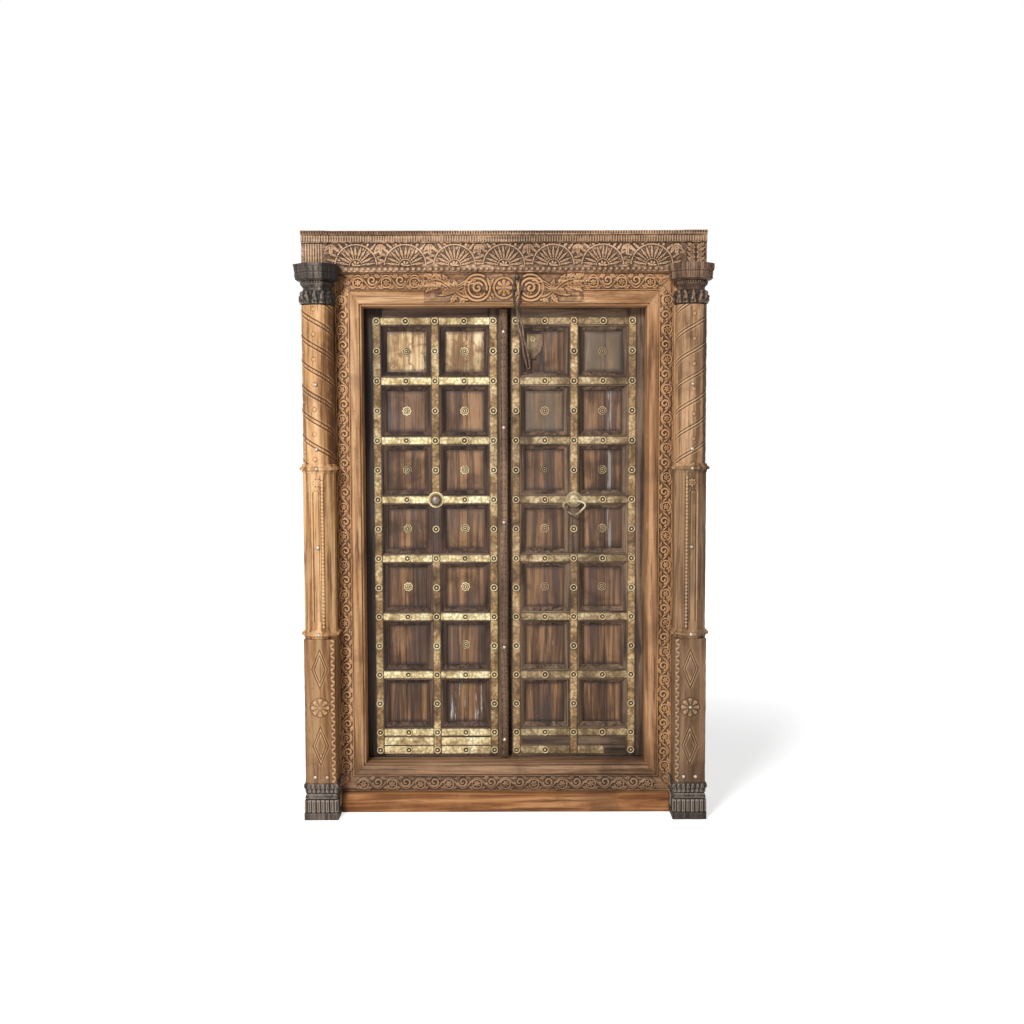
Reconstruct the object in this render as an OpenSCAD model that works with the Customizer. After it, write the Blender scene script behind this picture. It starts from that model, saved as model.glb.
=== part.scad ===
// Carved two-leaf door in its carved frame: turned pilasters, a lintel with a lotus
// frieze, vine-carved facing boards and pivot-hung leaves with brass strapwork.
// Millimetres, +Z up, front towards -Y, origin under the middle of the whole door.

/* [Opening] */
// Clear width between the two posts
opening_w = 1024; // [900:2:1200]
// Clear height between the sill and the header
opening_h = 1664; // [1500:2:1800]
// Height of the sill's top above the floor
sill_h = 168; // [150:1:200]

/* [Frame timbers] */
// Depth of the frame behind the carved faces
frame_d = 165; // [160:1:200]
// Width of each plain architrave, from the opening outwards
arch_w = 42; // [36:1:60]
// Step between an architrave's edge and the opening
arch_step = 7; // [3:0.5:12]
// Height of the plain architrave band over the opening
head_arch_h = 53; // [46:1:70]
// Height of the plain architrave band of the sill
sill_arch_h = 41; // [34:1:50]
// Width of the vine boards beside the opening
vine_w = 50; // [44:1:64]
// Height of the vine board over the opening
head_vine_h = 63; // [56:1:80]
// Height of the vine board of the sill
sill_vine_h = 58; // [50:1:66]
// Thickness of the architraves and the vine boards
facing_t = 12; // [10:0.5:18]
// Width of the frame behind each pilaster
pilaster_seat_w = 106; // [96:1:130]
// How far a post's stop overlaps the edge of the leaf
stop_lap = 18; // [12:1:26]
// How far the threshold stands in front of the carved faces
threshold_proud = 35; // [20:1:60]

/* [Lintel] */
// Height of the lintel
lintel_h = 142; // [130:1:170]
// How far the lintel reaches past each pilaster's axis
lintel_over = 60; // [54:1:80]
// How far the frieze ground stands in front of the carved faces
frieze_proud = 18; // [10:1:30]
// How far the end blocks stand in front of the frieze
block_proud = 8; // [4:1:56]
// Height of the bead row along the bottom
bead_row_h = 20; // [16:1:26]
// Height of the fan frieze
frieze_h = 80; // [70:1:90]
// Height of the reeded band
reed_h = 28; // [20:1:32]
// Number of lotus fans in the frieze
fan_count = 7; // [5:1:9]
// Distance from reed to reed
reed_pitch = 9; // [8:0.5:14]
// Distance from bead to bead
bead_pitch = 20; // [16:0.5:30]

/* [Pilasters] */
// Distance of a pilaster's axis in front of the carved faces
pilaster_out = 62; // [60:1:70]
// Diameter of the round shaft and width of the shaft below it
shaft_w = 116; // [108:1:124]
// Width of the collars
collar_w = 140; // [128:1:150]
// Height of the foot
foot_h = 133; // [110:1:160]
// Width of the foot
foot_w = 122; // [116:1:134]
// Height of the square lower block
lower_h = 519; // [440:1:560]
// Height of each collar
collar_h = 32; // [24:1:40]
// Height of the eight-sided middle shaft
middle_h = 554; // [480:1:600]
// Height of the capital
capital_h = 142; // [120:1:170]
// Width of the capital's eight-sided top block
capital_w = 156; // [146:1:164]
// How far the capital rises in front of the lintel
capital_lap = 18; // [8:1:20]
// Rise of one full turn of the spiral bands
spiral_lead = 264; // [200:2:320]
// Number of spiral bands
spiral_starts = 3; // [2:1:4]

/* [Leaves] */
// Thickness of a leaf
leaf_t = 54; // [48:1:60]
// Distance of the leaves' front behind the carved faces
leaf_setback = 95; // [90:1:98]
// Thickness of the rails and muntins in front of the planks
grid_t = 26; // [20:1:30]
// Distance of the inner upright strap from the middle of the door
inner_strap_x = 41; // [41:0.5:50]
// Distance of the outer upright strap from the post
outer_strap_in = 45; // [42:0.5:60]
// Distance of the bottom cross strap above the sill
bottom_strap_rise = 95.2; // [90:0.2:120]
// Distance of the top cross strap below the header
top_strap_drop = 47; // [42:1:80]
// Width of the wood under each strap
grid_w = 40; // [38:1:48]
// Width of the slot between the leaves' front edges
meeting_gap = 12; // [8:0.5:12]
// Distance of the left leaf's front edge past the middle of the door
meeting_past = 12; // [8:0.5:14]
// Gap between the leaves' tongues at the back of that slot
tongue_gap = 0.4; // [0.3:0.1:1]
// Gap under and over each leaf
leaf_gap = 4; // [2:0.5:8]
// Number of back planks in a leaf
plank_count = 5; // [4:1:7]
// Width of the bevelled moulding round each panel
moulding_w = 14; // [8:0.5:18]
// Height of the moulding at its outer edge
moulding_h = 20; // [10:0.5:20]

/* [Pivots] */
// Radius of the pivot pins turned on each hinge stile
pivot_r = 19; // [14:0.5:22]
// Length of the pivot pins
pivot_len = 42; // [30:1:50]
// Running gap round the pivots
pivot_gap = 0.4; // [0.3:0.1:0.8]

/* [Brass and iron] */
// Width of the brass straps
strap_w = 30; // [26:1:34]
// Thickness of the brass straps
strap_t = 2.5; // [1.5:0.5:4]
// Radius of a strap boss
boss_r = 14; // [10:0.5:15]
// Height of a strap boss
boss_h = 9; // [6:0.5:12]
// Radius of a panel flower
flower_r = 18; // [9:0.5:22]
// Height of the knob and ring boss domes
dome_h = 24; // [16:1:30]
// Radius of the ring's rod
ring_rod_r = 4; // [3:0.25:5]
// Half width of the pull ring
ring_half_w = 40; // [30:1:46]
// Drop of the pull ring
ring_drop = 52; // [40:1:60]
// Radius of the hasp's iron rod
hasp_rod_r = 3.2; // [2.6:0.1:3.6]
// Length of the upper hasp link, between the middles of its end rods
hasp_upper_l = 116; // [90:1:130]
// Half width of the upper hasp link at the middle of its rod
hasp_half_w = 12.4; // [11:0.2:16]

/* [Hidden] */
$fn = 32;
LEFT = -1;
RIGHT = 1;

// Colours, as the weathered door shows them
tan_wood = "#9a6f47";
carved_wood = "#8a6040";
dark_wood = "#4a3a30";
leaf_wood = "#5a4034";
plank_wood = "#4b352e";
brass = "#a88c4a";
iron = "#4a423c";
nickel = "#b9aea0";

// Heights
z_head = sill_h + opening_h;
z_arch = z_head + head_arch_h;
z_lintel = z_arch + head_vine_h;
z_top = z_lintel + lintel_h;
z_sill_vine = sill_h - sill_arch_h - sill_vine_h;

// Places across the door
x_open = opening_w / 2;
x_vine = x_open + arch_w;
x_seat = x_vine + vine_w;
x_out = x_seat + pilaster_seat_w;
pilaster_x = x_seat + pilaster_seat_w / 2;
lintel_half = pilaster_x + lintel_over;

// Places from front to back, with the origin under the middle of the whole depth
front_reach = pilaster_out + capital_w / 2;
y_face = (front_reach - frame_d) / 2;
y_back = y_face + frame_d;
y_board = y_face + facing_t;
y_pilaster = y_face - pilaster_out;
y_leaf = y_face + leaf_setback;
y_plank = y_leaf + grid_t;
y_axis = y_leaf + leaf_t / 2;
stop_gap = 1;
y_stop = y_leaf - stop_gap;

// Leaves
pin_x = x_open + stop_lap - leaf_t / 2;
rebate_gap = 2;
z_leaf = sill_h + leaf_gap;
leaf_top = z_head + stop_lap;
z_rebate = leaf_top + leaf_gap;
row_count = 8;
z_row0 = z_head - top_strap_drop;
column_pitch = (x_open - outer_strap_in - inner_strap_x) / 2;
row_pitch = (opening_h - top_strap_drop - bottom_strap_rise) / (row_count - 1);
column_x = [for (i = [0:2]) inner_strap_x + i * column_pitch];
z_rows = [for (i = [0:row_count - 1]) z_row0 - i * row_pitch];
z_last = z_rows[row_count - 1];
grip_row = 3;
grid_in = inner_strap_x + grid_w / 2;
grid_out = column_x[2] - grid_w / 2;
front_edge = [-meeting_past, meeting_past + meeting_gap];
tongue_x = meeting_past + meeting_gap / 2;
tongue_edge = [tongue_gap / 2 - tongue_x, tongue_x + tongue_gap / 2];
pivot_play = 0.4;

// Ornament
relief = 6;
sink = 1;
vine_period = 184;
vine_swing = 0.26;
vine_end = 8;
stem_w = 6;
edge_fillet = 4;
crest_half = 285;
crest_end = 26;
spiral_w = 18;
spiral_rise = 2.5;
line_w = 5;
line_sunk = 3;
rope_w = 15;
rope_pitch = 14;
rope_t = 5;
petal_rise = 2;

// Spread of a shape to both hands: side -1 is the left, side 1 the right
module hand(side) {
    if (side == LEFT) mirror([1, 0, 0]) children();
    else children();
}

// A flat outline in X and Z, extruded towards the front from a plane at y
module raised(y, h) {
    translate([0, y, 0]) rotate([90, 0, 0]) linear_extrude(h) children();
}

// A box given by its two corners
module block(a, b) {
    translate(a) cube(b - a);
}

// Outline of a band of width w along a row of points
function across(p, i) =
    let (a = p[max(i - 1, 0)], b = p[min(i + 1, len(p) - 1)], d = b - a)
    [-d[1], d[0]] / norm(d);
function band(p, w) = concat(
    [for (i = [0:len(p) - 1]) p[i] + across(p, i) * w / 2],
    [for (i = [len(p) - 1:-1:0]) p[i] - across(p, i) * w / 2]);

// Points of a flat spiral round c, from radius r0 to r1
function spiral(c, r0, r1, a0, turn, n) =
    [for (i = [0:n])
        let (t = i / n, a = a0 + turn * t, r = r0 + (r1 - r0) * t)
        c + r * [cos(a), sin(a)]];

// Outline of a pointed leaf from p, of length l and width w, turned by a
function leaf_shape(p, l, w, a) =
    let (u = [cos(a), sin(a)], v = [-sin(a), cos(a)])
    [p, p + 0.25 * l * u + 0.42 * w * v, p + 0.55 * l * u + 0.5 * w * v, p + l * u,
     p + 0.55 * l * u - 0.5 * w * v, p + 0.25 * l * u - 0.42 * w * v];

// One run of scrolling vine from x = a to x = b, in a band of height h about y = 0
module vine(a, b, h, y) {
    bays = max(2, 2 * round((b - a) / vine_period));
    bay = (b - a) / bays;
    swing = h * vine_swing;
    steps = 7;
    curl_r = h * 0.29;
    stem = [for (i = [0:bays * steps])
        [a + i * bay / steps, swing * sin(180 * i / steps)]];
    raised(y + sink, relief + sink) polygon(band(stem, stem_w));
    for (k = [0:bays - 1]) {
        up = k % 2 == 0 ? 1 : -1;
        c = [a + (k + 0.5) * bay, -up * (h / 2 - edge_fillet - curl_r)];
        raised(y + sink, relief - 1 + sink)
            polygon(band(spiral(c, curl_r - 2, 6, up * 165, -up * 400, 14), 4.5));
        raised(y + sink, relief + 1 + sink) translate(c) circle(4.5);
        for (e = [-1, 1])
            raised(y + sink, relief - 2 + sink)
                polygon(leaf_shape(c + [e * (curl_r + 3), up * 2], bay * 0.26, h * 0.2,
                    90 - e * 90 - e * up * 24));
    }
}

// A facing board with its vine: outline in X and Z, and the placed vine as children
module vine_board(outline) {
    color(carved_wood) {
        raised(y_board, facing_t) polygon(outline);
        children();
    }
}

module top_vine_boards() {
    for (side = [LEFT, RIGHT]) hand(side)
        vine_board([[crest_half, z_arch], [x_vine, z_arch], [x_seat, z_lintel], [crest_half, z_lintel]])
            translate([0, 0, z_arch + head_vine_h / 2])
                vine(crest_half + vine_end, x_vine - vine_end, head_vine_h, y_face);
}

module side_vine_board(side) {
    h = z_arch - z_sill_vine - sill_vine_h;
    hand(side) vine_board([[x_vine, sill_h - sill_arch_h], [x_seat, z_sill_vine],
        [x_seat, z_lintel], [x_vine, z_arch]])
        translate([x_vine + vine_w / 2, 0, z_sill_vine + sill_vine_h])
            rotate([0, -90, 0]) vine(vine_end, h - vine_end, vine_w, y_face);
}

module bottom_vine_board() {
    vine_board([[-x_seat, z_sill_vine], [x_seat, z_sill_vine],
        [x_vine, sill_h - sill_arch_h], [-x_vine, sill_h - sill_arch_h]])
        translate([0, 0, z_sill_vine + sill_vine_h / 2])
            vine(vine_end - x_vine, x_vine - vine_end, sill_vine_h, y_face);
}

// Plain architraves, mitred at the corners, each with a sunk line along its outer edge
arch_lip = 3;
module architrave(outline, line) {
    color(tan_wood) difference() {
        raised(y_board, facing_t) polygon(outline);
        raised(y_face + arch_lip, 2 * arch_lip) polygon(line);
    }
}

x_arch_in = x_open + arch_step;
z_arch_in = z_head + arch_step;
z_sill_in = sill_h - arch_step;
z_sill_arch = sill_h - sill_arch_h;

module side_architrave(side) {
    hand(side) architrave(
        [[x_arch_in, z_sill_in], [x_vine, z_sill_arch], [x_vine, z_arch], [x_arch_in, z_arch_in]],
        [[x_vine - arch_lip, z_sill_arch - 1], [x_vine + 1, z_sill_arch - 1],
         [x_vine + 1, z_arch + 1], [x_vine - arch_lip, z_arch + 1]]);
}

module top_architraves() {
    for (side = [LEFT, RIGHT]) hand(side) architrave(
        [[crest_half, z_arch_in], [x_arch_in, z_arch_in], [x_vine, z_arch], [crest_half, z_arch]],
        [[0, z_arch - arch_lip], [x_out, z_arch - arch_lip], [x_out, z_arch + 1], [0, z_arch + 1]]);
}

module bottom_architrave() {
    architrave(
        [[-x_arch_in, z_sill_in], [-x_vine, z_sill_arch], [x_vine, z_sill_arch], [x_arch_in, z_sill_in]],
        [[-x_out, z_sill_arch - 1], [x_out, z_sill_arch - 1], [x_out, z_sill_arch + arch_lip],
         [-x_out, z_sill_arch + arch_lip]]);
}

// Posts with a rebate for the leaf, seated between the sill and the header
module post(side) {
    x_rebate = x_open + stop_lap + rebate_gap;
    color(tan_wood) hand(side) translate([0, 0, sill_h]) linear_extrude(opening_h)
        polygon([[x_open, y_board], [x_seat, y_board], [x_seat, y_face], [x_out, y_face],
            [x_out, y_back], [x_rebate, y_back], [x_rebate, y_stop], [x_open, y_stop]]);
}

module pivot_bore(z) {
    for (side = [LEFT, RIGHT]) hand(side)
        translate([pin_x, y_axis, z]) cylinder(r = pivot_r + pivot_gap, h = pivot_len + pivot_play);
}

module cross_timber(z0, z1) {
    block([-x_out, y_board, z0], [x_out, y_back, z1]);
    for (side = [LEFT, RIGHT]) hand(side)
        block([x_seat, y_face, z0], [x_out, y_board + sink, z1]);
}

module header() {
    x_rebate = x_open + stop_lap + rebate_gap;
    color(tan_wood) difference() {
        cross_timber(z_head, z_lintel);
        block([-x_rebate, y_stop, z_head - 1], [x_rebate, y_back + 1, z_rebate]);
        translate([0, 0, leaf_gap]) pivot_bore(leaf_top - leaf_gap);
        staple_bore();
    }
}

module sill() {
    color(tan_wood) difference() {
        cross_timber(0, sill_h);
        pivot_bore(z_leaf - pivot_len - pivot_play);
    }
}

module threshold() {
    end_gap = 1;
    half = pilaster_x - foot_w / 2 - end_gap;
    nose = 8;
    color("#a8713c") translate([-half, 0, 0]) rotate([90, 0, 90]) linear_extrude(2 * half)
        polygon([[y_board, 0], [y_face - threshold_proud, 0],
            [y_face - threshold_proud, z_sill_vine - nose],
            [y_face - threshold_proud + nose, z_sill_vine - 2], [y_board, z_sill_vine - 2]]);
}

// Lintel: bands with one plan outline, brought forward over the pilasters
return_w = 28;
block_in = pilaster_x - 17;
module lintel_band(z0, z1, out) {
    y0 = y_face - frieze_proud - out;
    y1 = y0 - block_proud;
    a = block_in - return_w;
    translate([0, 0, z0]) linear_extrude(z1 - z0)
        polygon([[-lintel_half, y_back], [-lintel_half, y1], [-block_in, y1], [-a, y0],
            [a, y0], [block_in, y1], [lintel_half, y1], [lintel_half, y_back]]);
}

// A saw-toothed strip of reeds, seen from above, from x = a to x = b at the front plane y
module reeds(a, b, y, z0, z1) {
    n = floor((b - a) / reed_pitch);
    p = (b - a) / n;
    deep = 5;
    translate([0, 0, z0]) linear_extrude(z1 - z0)
        polygon(concat([[b, y + sink], [a, y + sink]],
            [for (i = [0:n - 1]) each [[a + i * p + 1, y], [a + i * p + p / 3, y - deep],
                [a + i * p + 2 * p / 3, y - deep], [a + (i + 1) * p - 1, y]]]));
}

// Half-round lotus fan of radius r standing on z = 0 about x = 0
module lotus_fan(r) {
    petals = 9;
    y = y_face - frieze_proud;
    raised(y + sink, relief + sink)
        polygon(band(spiral([0, 0], r, r, 4, 172, 14), r * 0.13));
    for (i = [0:petals - 1])
        let (a = 180 * (i + 0.5) / petals)
            raised(y + sink, relief - 1 + sink)
                polygon(leaf_shape([cos(a), sin(a)] * r * 0.27, r * 0.6, r * 0.21, a));
    raised(y + sink, relief + 1 + sink) polygon(spiral([0, 0], r * 0.2, r * 0.2, 0, 180, 8));
}

// Paired leaves up the front of the right end block, of height h above z
module end_leaves(y, z, h) {
    pairs = 4;
    w = lintel_half - block_in;
    for (i = [0:pairs - 1]) for (e = [-1, 1])
        raised(y + sink, relief - 1 + sink)
            polygon(leaf_shape([(block_in + lintel_half) / 2 + e * w * 0.04, z + h * (0.1 + 0.21 * i)],
                w * 0.46, w * 0.26, 90 - e * 52));
}

module lintel() {
    z_bead = z_lintel + bead_row_h;
    z_reed = z_bead + frieze_h;
    z_fillet = z_reed + reed_h;
    mid = block_in - return_w;
    y_frieze = y_face - frieze_proud;
    pitch = 2 * mid / fan_count;
    bead_half = pilaster_x - capital_w / 2 - 6;
    beads = floor(2 * bead_half / bead_pitch);
    bead_r = bead_row_h * 0.38;
    color(carved_wood) {
        block([-lintel_half, y_frieze, z_lintel], [lintel_half, y_back, z_bead]);
        lintel_band(z_bead, z_reed, 0);
        lintel_band(z_reed, z_fillet, 8);
        lintel_band(z_fillet, z_top, 16);
        reeds(-mid, mid, y_frieze - 8, z_reed + 3, z_fillet);
        for (side = [LEFT, RIGHT]) hand(side)
            reeds(block_in, lintel_half, y_frieze - block_proud - 8, z_reed + 3, z_fillet);
        hand(LEFT) reeds(block_in, lintel_half, y_frieze - block_proud, z_bead + 4, z_reed - 4);
        end_leaves(y_frieze - block_proud, z_bead, frieze_h);
        for (i = [0:fan_count - 1])
            translate([-mid + (i + 0.5) * pitch, 0, z_bead + 2]) lotus_fan(min(pitch / 2, frieze_h) - 6);
        for (i = [1:fan_count - 1])
            raised(y_frieze + sink, relief + sink)
                translate([0, z_reed]) polygon(leaf_shape([-mid + i * pitch, -2], frieze_h * 0.5,
                    frieze_h * 0.22, 270));
        for (i = [0:beads - 1])
            raised(y_frieze + sink, 9 + sink)
                translate([(i - (beads - 1) / 2) * bead_pitch, z_lintel + bead_row_h / 2])
                    circle(bead_r);
    }
}

// Central crest of the header: a medallion between two scrolls, with leaves at the ends
crest_z = (z_arch_in + z_lintel) / 2;
module crest_scroll() {
    r = (head_vine_h + head_arch_h) * 0.36;
    c = [r * 2.3, 0];
    raised(y_face + sink, relief + sink) polygon(band(spiral(c, r, 9, 150, -520, 26), 8));
    raised(y_face + sink, relief + 2 + sink) translate(c) circle(6);
    stem_x = r * 3.2;
    stem_l = crest_half - crest_end - stem_x;
    raised(y_face + sink, relief - 1 + sink)
        polygon(band([for (t = [0:0.1:1]) [stem_x + stem_l * t, -r * 0.75 * cos(200 * t)]], 7));
    for (t = [0.15:0.25:0.9])
        raised(y_face + sink, relief - 2 + sink)
            polygon(leaf_shape([stem_x + r * 0.1 + stem_l * t, -r * 0.75 * cos(200 * t) + 4],
                r * 0.75, r * 0.42, 100 - 80 * t));
    for (a = [-32, 0, 32])
        raised(y_face + sink, relief - 3 + sink)
            polygon(leaf_shape([crest_half - r * 0.95, r * 0.5], r * 0.9, r * 0.34, a));
}

module header_crest() {
    r = (head_vine_h + head_arch_h) * 0.34;
    petals = 8;
    turn = 360 / petals;
    color(carved_wood) difference() {
        union() {
            block([-crest_half, y_face, z_arch_in], [crest_half, y_board, z_lintel]);
            for (side = [LEFT, RIGHT]) hand(side) translate([0, 0, crest_z]) crest_scroll();
            translate([0, 0, crest_z]) {
                raised(y_face + sink, relief - 2 + sink) circle(r);
                raised(y_face + sink, relief + sink)
                    polygon(band(spiral([0, 0], r - 4, r - 4, 0, 354, 30), 5));
                for (i = [0:petals - 1])
                    raised(y_face + sink, relief + 1 + sink)
                        polygon(leaf_shape([cos(i * turn), sin(i * turn)] * 7, r * 0.55, r * 0.36, i * turn));
            }
        }
        staple_bore();
    }
}

// Pilasters
pilaster_z1 = foot_h + lower_h;
pilaster_z2 = pilaster_z1 + collar_h;
pilaster_z3 = pilaster_z2 + middle_h;
pilaster_z4 = pilaster_z3 + collar_h;
flower_z = foot_h + lower_h * 0.525;
capital_z = z_lintel + capital_lap - capital_h;

// A raised band that winds round the front of the shaft, cut at the shaft's two ends
module spiral_band(turn) {
    steps = 12;
    r = shaft_w / 2;
    half_h = spiral_w / 2;
    ring = [for (i = [0:steps])
        let (a = -190 + 200 * i / steps, z = spiral_lead * (turn + i * 200 / steps / 360))
        for (q = [[r - spiral_rise, -half_h], [r + spiral_rise, -half_h * 0.7],
            [r + spiral_rise, half_h * 0.7], [r - spiral_rise, half_h]])
            [q[0] * cos(a), q[0] * sin(a), z + q[1]]];
    side = [for (i = [0:steps - 1]) for (j = [0:3])
        [4 * i + j, 4 * i + (j + 1) % 4, 4 * i + 4 + (j + 1) % 4, 4 * i + 4 + j]];
    polyhedron(ring, concat([[3, 2, 1, 0]], side,
        [[4 * steps, 4 * steps + 1, 4 * steps + 2, 4 * steps + 3]]), convexity = 4);
}

module collar(z) {
    c = collar_w / 2;
    translate([0, 0, z]) rotate([0, 0, 22.5]) rotate_extrude($fn = 8)
        polygon([[0, 0], [c * 0.88, 0], [c * 0.9, collar_h * 0.2], [c, collar_h * 0.36],
            [c, collar_h * 0.64], [c * 0.9, collar_h * 0.8], [c * 0.88, collar_h], [0, collar_h]]);
}

// Flower of rounded petals on a front plane at y
module carved_flower(y, r) {
    translate([0, y, 0]) rotate([90, 0, 0]) for (i = [0:7]) rotate([0, 0, 45 * i])
        hull() {
            translate([r * 0.35, 0, -petal_rise]) cylinder(r = r * 0.1, h = 2 * petal_rise, $fn = 6);
            translate([r * 0.8, 0, -petal_rise]) cylinder(r = r * 0.22, h = 2 * petal_rise, $fn = 8);
        }
}

module diamond_line(y, w, h, t) {
    raised(y, 2 * line_sunk) difference() {
        polygon([[0, h / 2], [w / 2, 0], [0, -h / 2], [-w / 2, 0]]);
        polygon([[0, h / 2 - 2.4 * t], [w / 2 - t, 0], [0, 2.4 * t - h / 2], [t - w / 2, 0]]);
    }
}

module pilaster(side) {
    color(tan_wood) hand(side) translate([pilaster_x, y_pilaster, 0]) difference() {
        intersection() {
            translate([-collar_w, -collar_w, foot_h])
                cube([2 * collar_w, collar_w + pilaster_out, capital_z - foot_h]);
            pilaster_body();
        }
        stud_seats(side);
    }
}

module pilaster_body() {
    r = shaft_w / 2;
    shaft_l = capital_z - pilaster_z4;
    turns = ceil(shaft_l / spiral_lead) + 1;
    eight_r = r / cos(22.5);
    panel_h = middle_h * 0.8;
    rope_n = floor(lower_h / rope_pitch);
    difference() {
        translate([-r, -r, foot_h]) cube([2 * r, r + pilaster_out, lower_h]);
        for (k = [0.26, 0.79])
            translate([0, 0, foot_h + lower_h * k]) diamond_line(line_sunk - r, r, lower_h * 0.27, line_w);
    }
    translate([0, 0, flower_z]) carved_flower(-r, r * 0.5);
    for (i = [0:rope_n - 1])
        translate([rope_w * 0.67 - r, -r, foot_h + (i + 0.5) * lower_h / rope_n]) rotate([90, 25, 0])
            cube([rope_w, lower_h / rope_n * 0.55, rope_t], center = true);
    collar(pilaster_z1);
    difference() {
        translate([0, 0, pilaster_z2]) rotate([0, 0, 22.5])
            cylinder(r = eight_r, h = middle_h, $fn = 8);
        translate([0, line_sunk - r, pilaster_z2 + middle_h * 0.44]) rotate([90, 0, 0])
            linear_extrude(2 * line_sunk) square([r * 0.22, panel_h], center = true);
    }
    translate([0, 0, pilaster_z3 - r * 0.55]) carved_flower(-r, r * 0.32);
    collar(pilaster_z3);
    translate([0, 0, pilaster_z4]) cylinder(r = r, h = shaft_l);
    intersection() {
        translate([0, 0, pilaster_z4]) cylinder(r = 2 * r, h = shaft_l);
        for (k = [-1:turns * spiral_starts])
            translate([0, 0, pilaster_z4]) spiral_band(k / spiral_starts - 0.4);
    }
    translate([-r * 0.8, 0, pilaster_z2]) cube([1.6 * r, pilaster_out, capital_z - pilaster_z2]);
}

// Dark capitals: an eight-sided top block over a hollow and a ring of leaves
module capital(side) {
    c = capital_w / 2 / cos(22.5);
    r = shaft_w / 2;
    leaves = 12;
    h = capital_h;
    color(dark_wood) hand(side) translate([pilaster_x, y_pilaster, capital_z]) difference() {
        union() {
            rotate([0, 0, 22.5]) rotate_extrude($fn = 8)
                polygon([[0, 0], [r, 0], [r * 1.05, h * 0.08], [r * 1.02, h * 0.24], [r * 0.92, h * 0.36],
                    [r * 0.96, h * 0.5], [r * 1.12, h * 0.58], [c * 0.9, h * 0.62], [c, h * 0.9],
                    [c, h], [0, h]]);
            for (i = [0:leaves - 1]) rotate([0, 0, 360 * (i + 0.5) / leaves + 3]) hull() {
                translate([r * 0.8, -6, h * 0.05]) cube([r * 0.24, 12, 3]);
                translate([r * 0.8, -9, h * 0.22]) cube([r * 0.31, 18, 3]);
                translate([r * 0.9, -2, h * 0.34]) cube([r * 0.29, 4, 2]);
            }
        }
        translate([-capital_w, pilaster_out, -1]) cube([2 * capital_w, capital_w, h + 2]);
        translate([-capital_w, pilaster_out - frieze_proud - 1, h - capital_lap])
            cube([2 * capital_w, capital_w, h]);
        translate([-capital_w, -capital_w, -h]) cube([2 * capital_w, 2 * capital_w, h]);
    }
}

// Dark feet: a ringed neck over a flared, reeded block
module foot(side) {
    w = foot_w / 2;
    r = shaft_w / 2;
    neck_z = foot_h * 0.58;
    teeth = 7;
    color(dark_wood) hand(side) translate([pilaster_x, y_pilaster, 0]) {
        translate([-w, -w, 0]) cube([2 * w, w + pilaster_out, foot_h * 0.2]);
        translate([-w * 0.94, -w * 0.94, 0]) cube([w * 1.88, w * 0.94 + pilaster_out, neck_z]);
        translate([-r, -r, neck_z]) cube([2 * r, r + pilaster_out, foot_h * 0.16]);
        translate([-r * 0.94, -r * 0.94, 0]) cube([r * 1.88, r * 0.94 + pilaster_out, foot_h]);
        translate([-r * 1.02, -r * 1.02, foot_h * 0.86])
            cube([r * 2.04, r * 1.02 + pilaster_out, foot_h * 0.1]);
        for (i = [0:teeth - 1])
            translate([(i - (teeth - 1) / 2) * foot_w / teeth, -w * 0.9, foot_h * 0.2])
                intersection() {
                    cylinder(r = foot_w / teeth * 0.46, h = neck_z - foot_h * 0.24);
                    translate([-w, -w, 0]) cube([2 * w, w, foot_h]);
                }
    }
}

// Round-headed nails of the pilasters: offset, height and distance of the seat from the axis
stud_r = 7;
stud_sink = 0.5;
seat_play = 0.1;
shaft_seat = shaft_w / 2 - stud_sink;
collar_seat = collar_w / 2 * cos(22.5) - stud_sink;
stud_places = [
    [-22, foot_h + 22, shaft_seat], [20, foot_h + 22, shaft_seat],
    [0, pilaster_z1 + collar_h / 2, collar_seat], [0, pilaster_z2 + middle_h * 0.53, shaft_seat],
    [0, pilaster_z3 + collar_h / 2, collar_seat],
    [0, pilaster_z4 + 52, shaft_seat], [0, pilaster_z4 + 278, shaft_seat]
];
// The right pilaster has one more, in the middle of its carved flower
function studs_of(side) =
    side == LEFT ? stud_places : concat(stud_places, [[0, flower_z, shaft_seat]]);

module stud() {
    rotate([90, 0, 0]) rotate_extrude()
        polygon([[0, 0], [stud_r, 0], [stud_r * 0.86, 2.4], [stud_r * 0.5, 4.2], [0, 5]]);
}

module stud_seats(side) {
    for (p = studs_of(side)) translate([p[0], -p[2], p[1]]) rotate([90, 0, 0])
        cylinder(r = stud_r + seat_play, h = collar_w, $fn = 24);
}

module pilaster_studs() {
    color(nickel) for (side = [LEFT, RIGHT]) hand(side)
        for (p = studs_of(side)) translate([pilaster_x + p[0], y_pilaster - p[2], p[1]]) stud();
}

// Leaves: stiles, rails and muntins in front of upright planks
module hinge_stile(side) {
    color(leaf_wood) hand(side) {
        translate([0, 0, z_leaf]) linear_extrude(leaf_top - z_leaf) {
            translate([pin_x, y_axis]) circle(leaf_t / 2);
            translate([grid_out, y_leaf]) square([pin_x - grid_out, leaf_t]);
        }
        translate([pin_x, y_axis, z_leaf - pivot_len]) cylinder(r = pivot_r, h = pivot_len + sink);
        translate([pin_x, y_axis, leaf_top - sink]) cylinder(r = pivot_r, h = pivot_len + sink);
    }
}

// Meeting stile with a tongue at the back, so that the two edges close on each other
module meeting_stile(side) {
    i = side == LEFT ? 0 : 1;
    color(leaf_wood) hand(side) translate([0, 0, z_leaf]) linear_extrude(leaf_top - z_leaf)
        polygon([[front_edge[i], y_leaf], [grid_in, y_leaf], [grid_in, y_leaf + leaf_t],
            [tongue_edge[i], y_leaf + leaf_t], [tongue_edge[i], y_plank], [front_edge[i], y_plank]]);
}

module rail(side, z0, z1) {
    color(leaf_wood) hand(side) block([grid_in, y_leaf, z0], [grid_out, y_plank, z1]);
}

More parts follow.
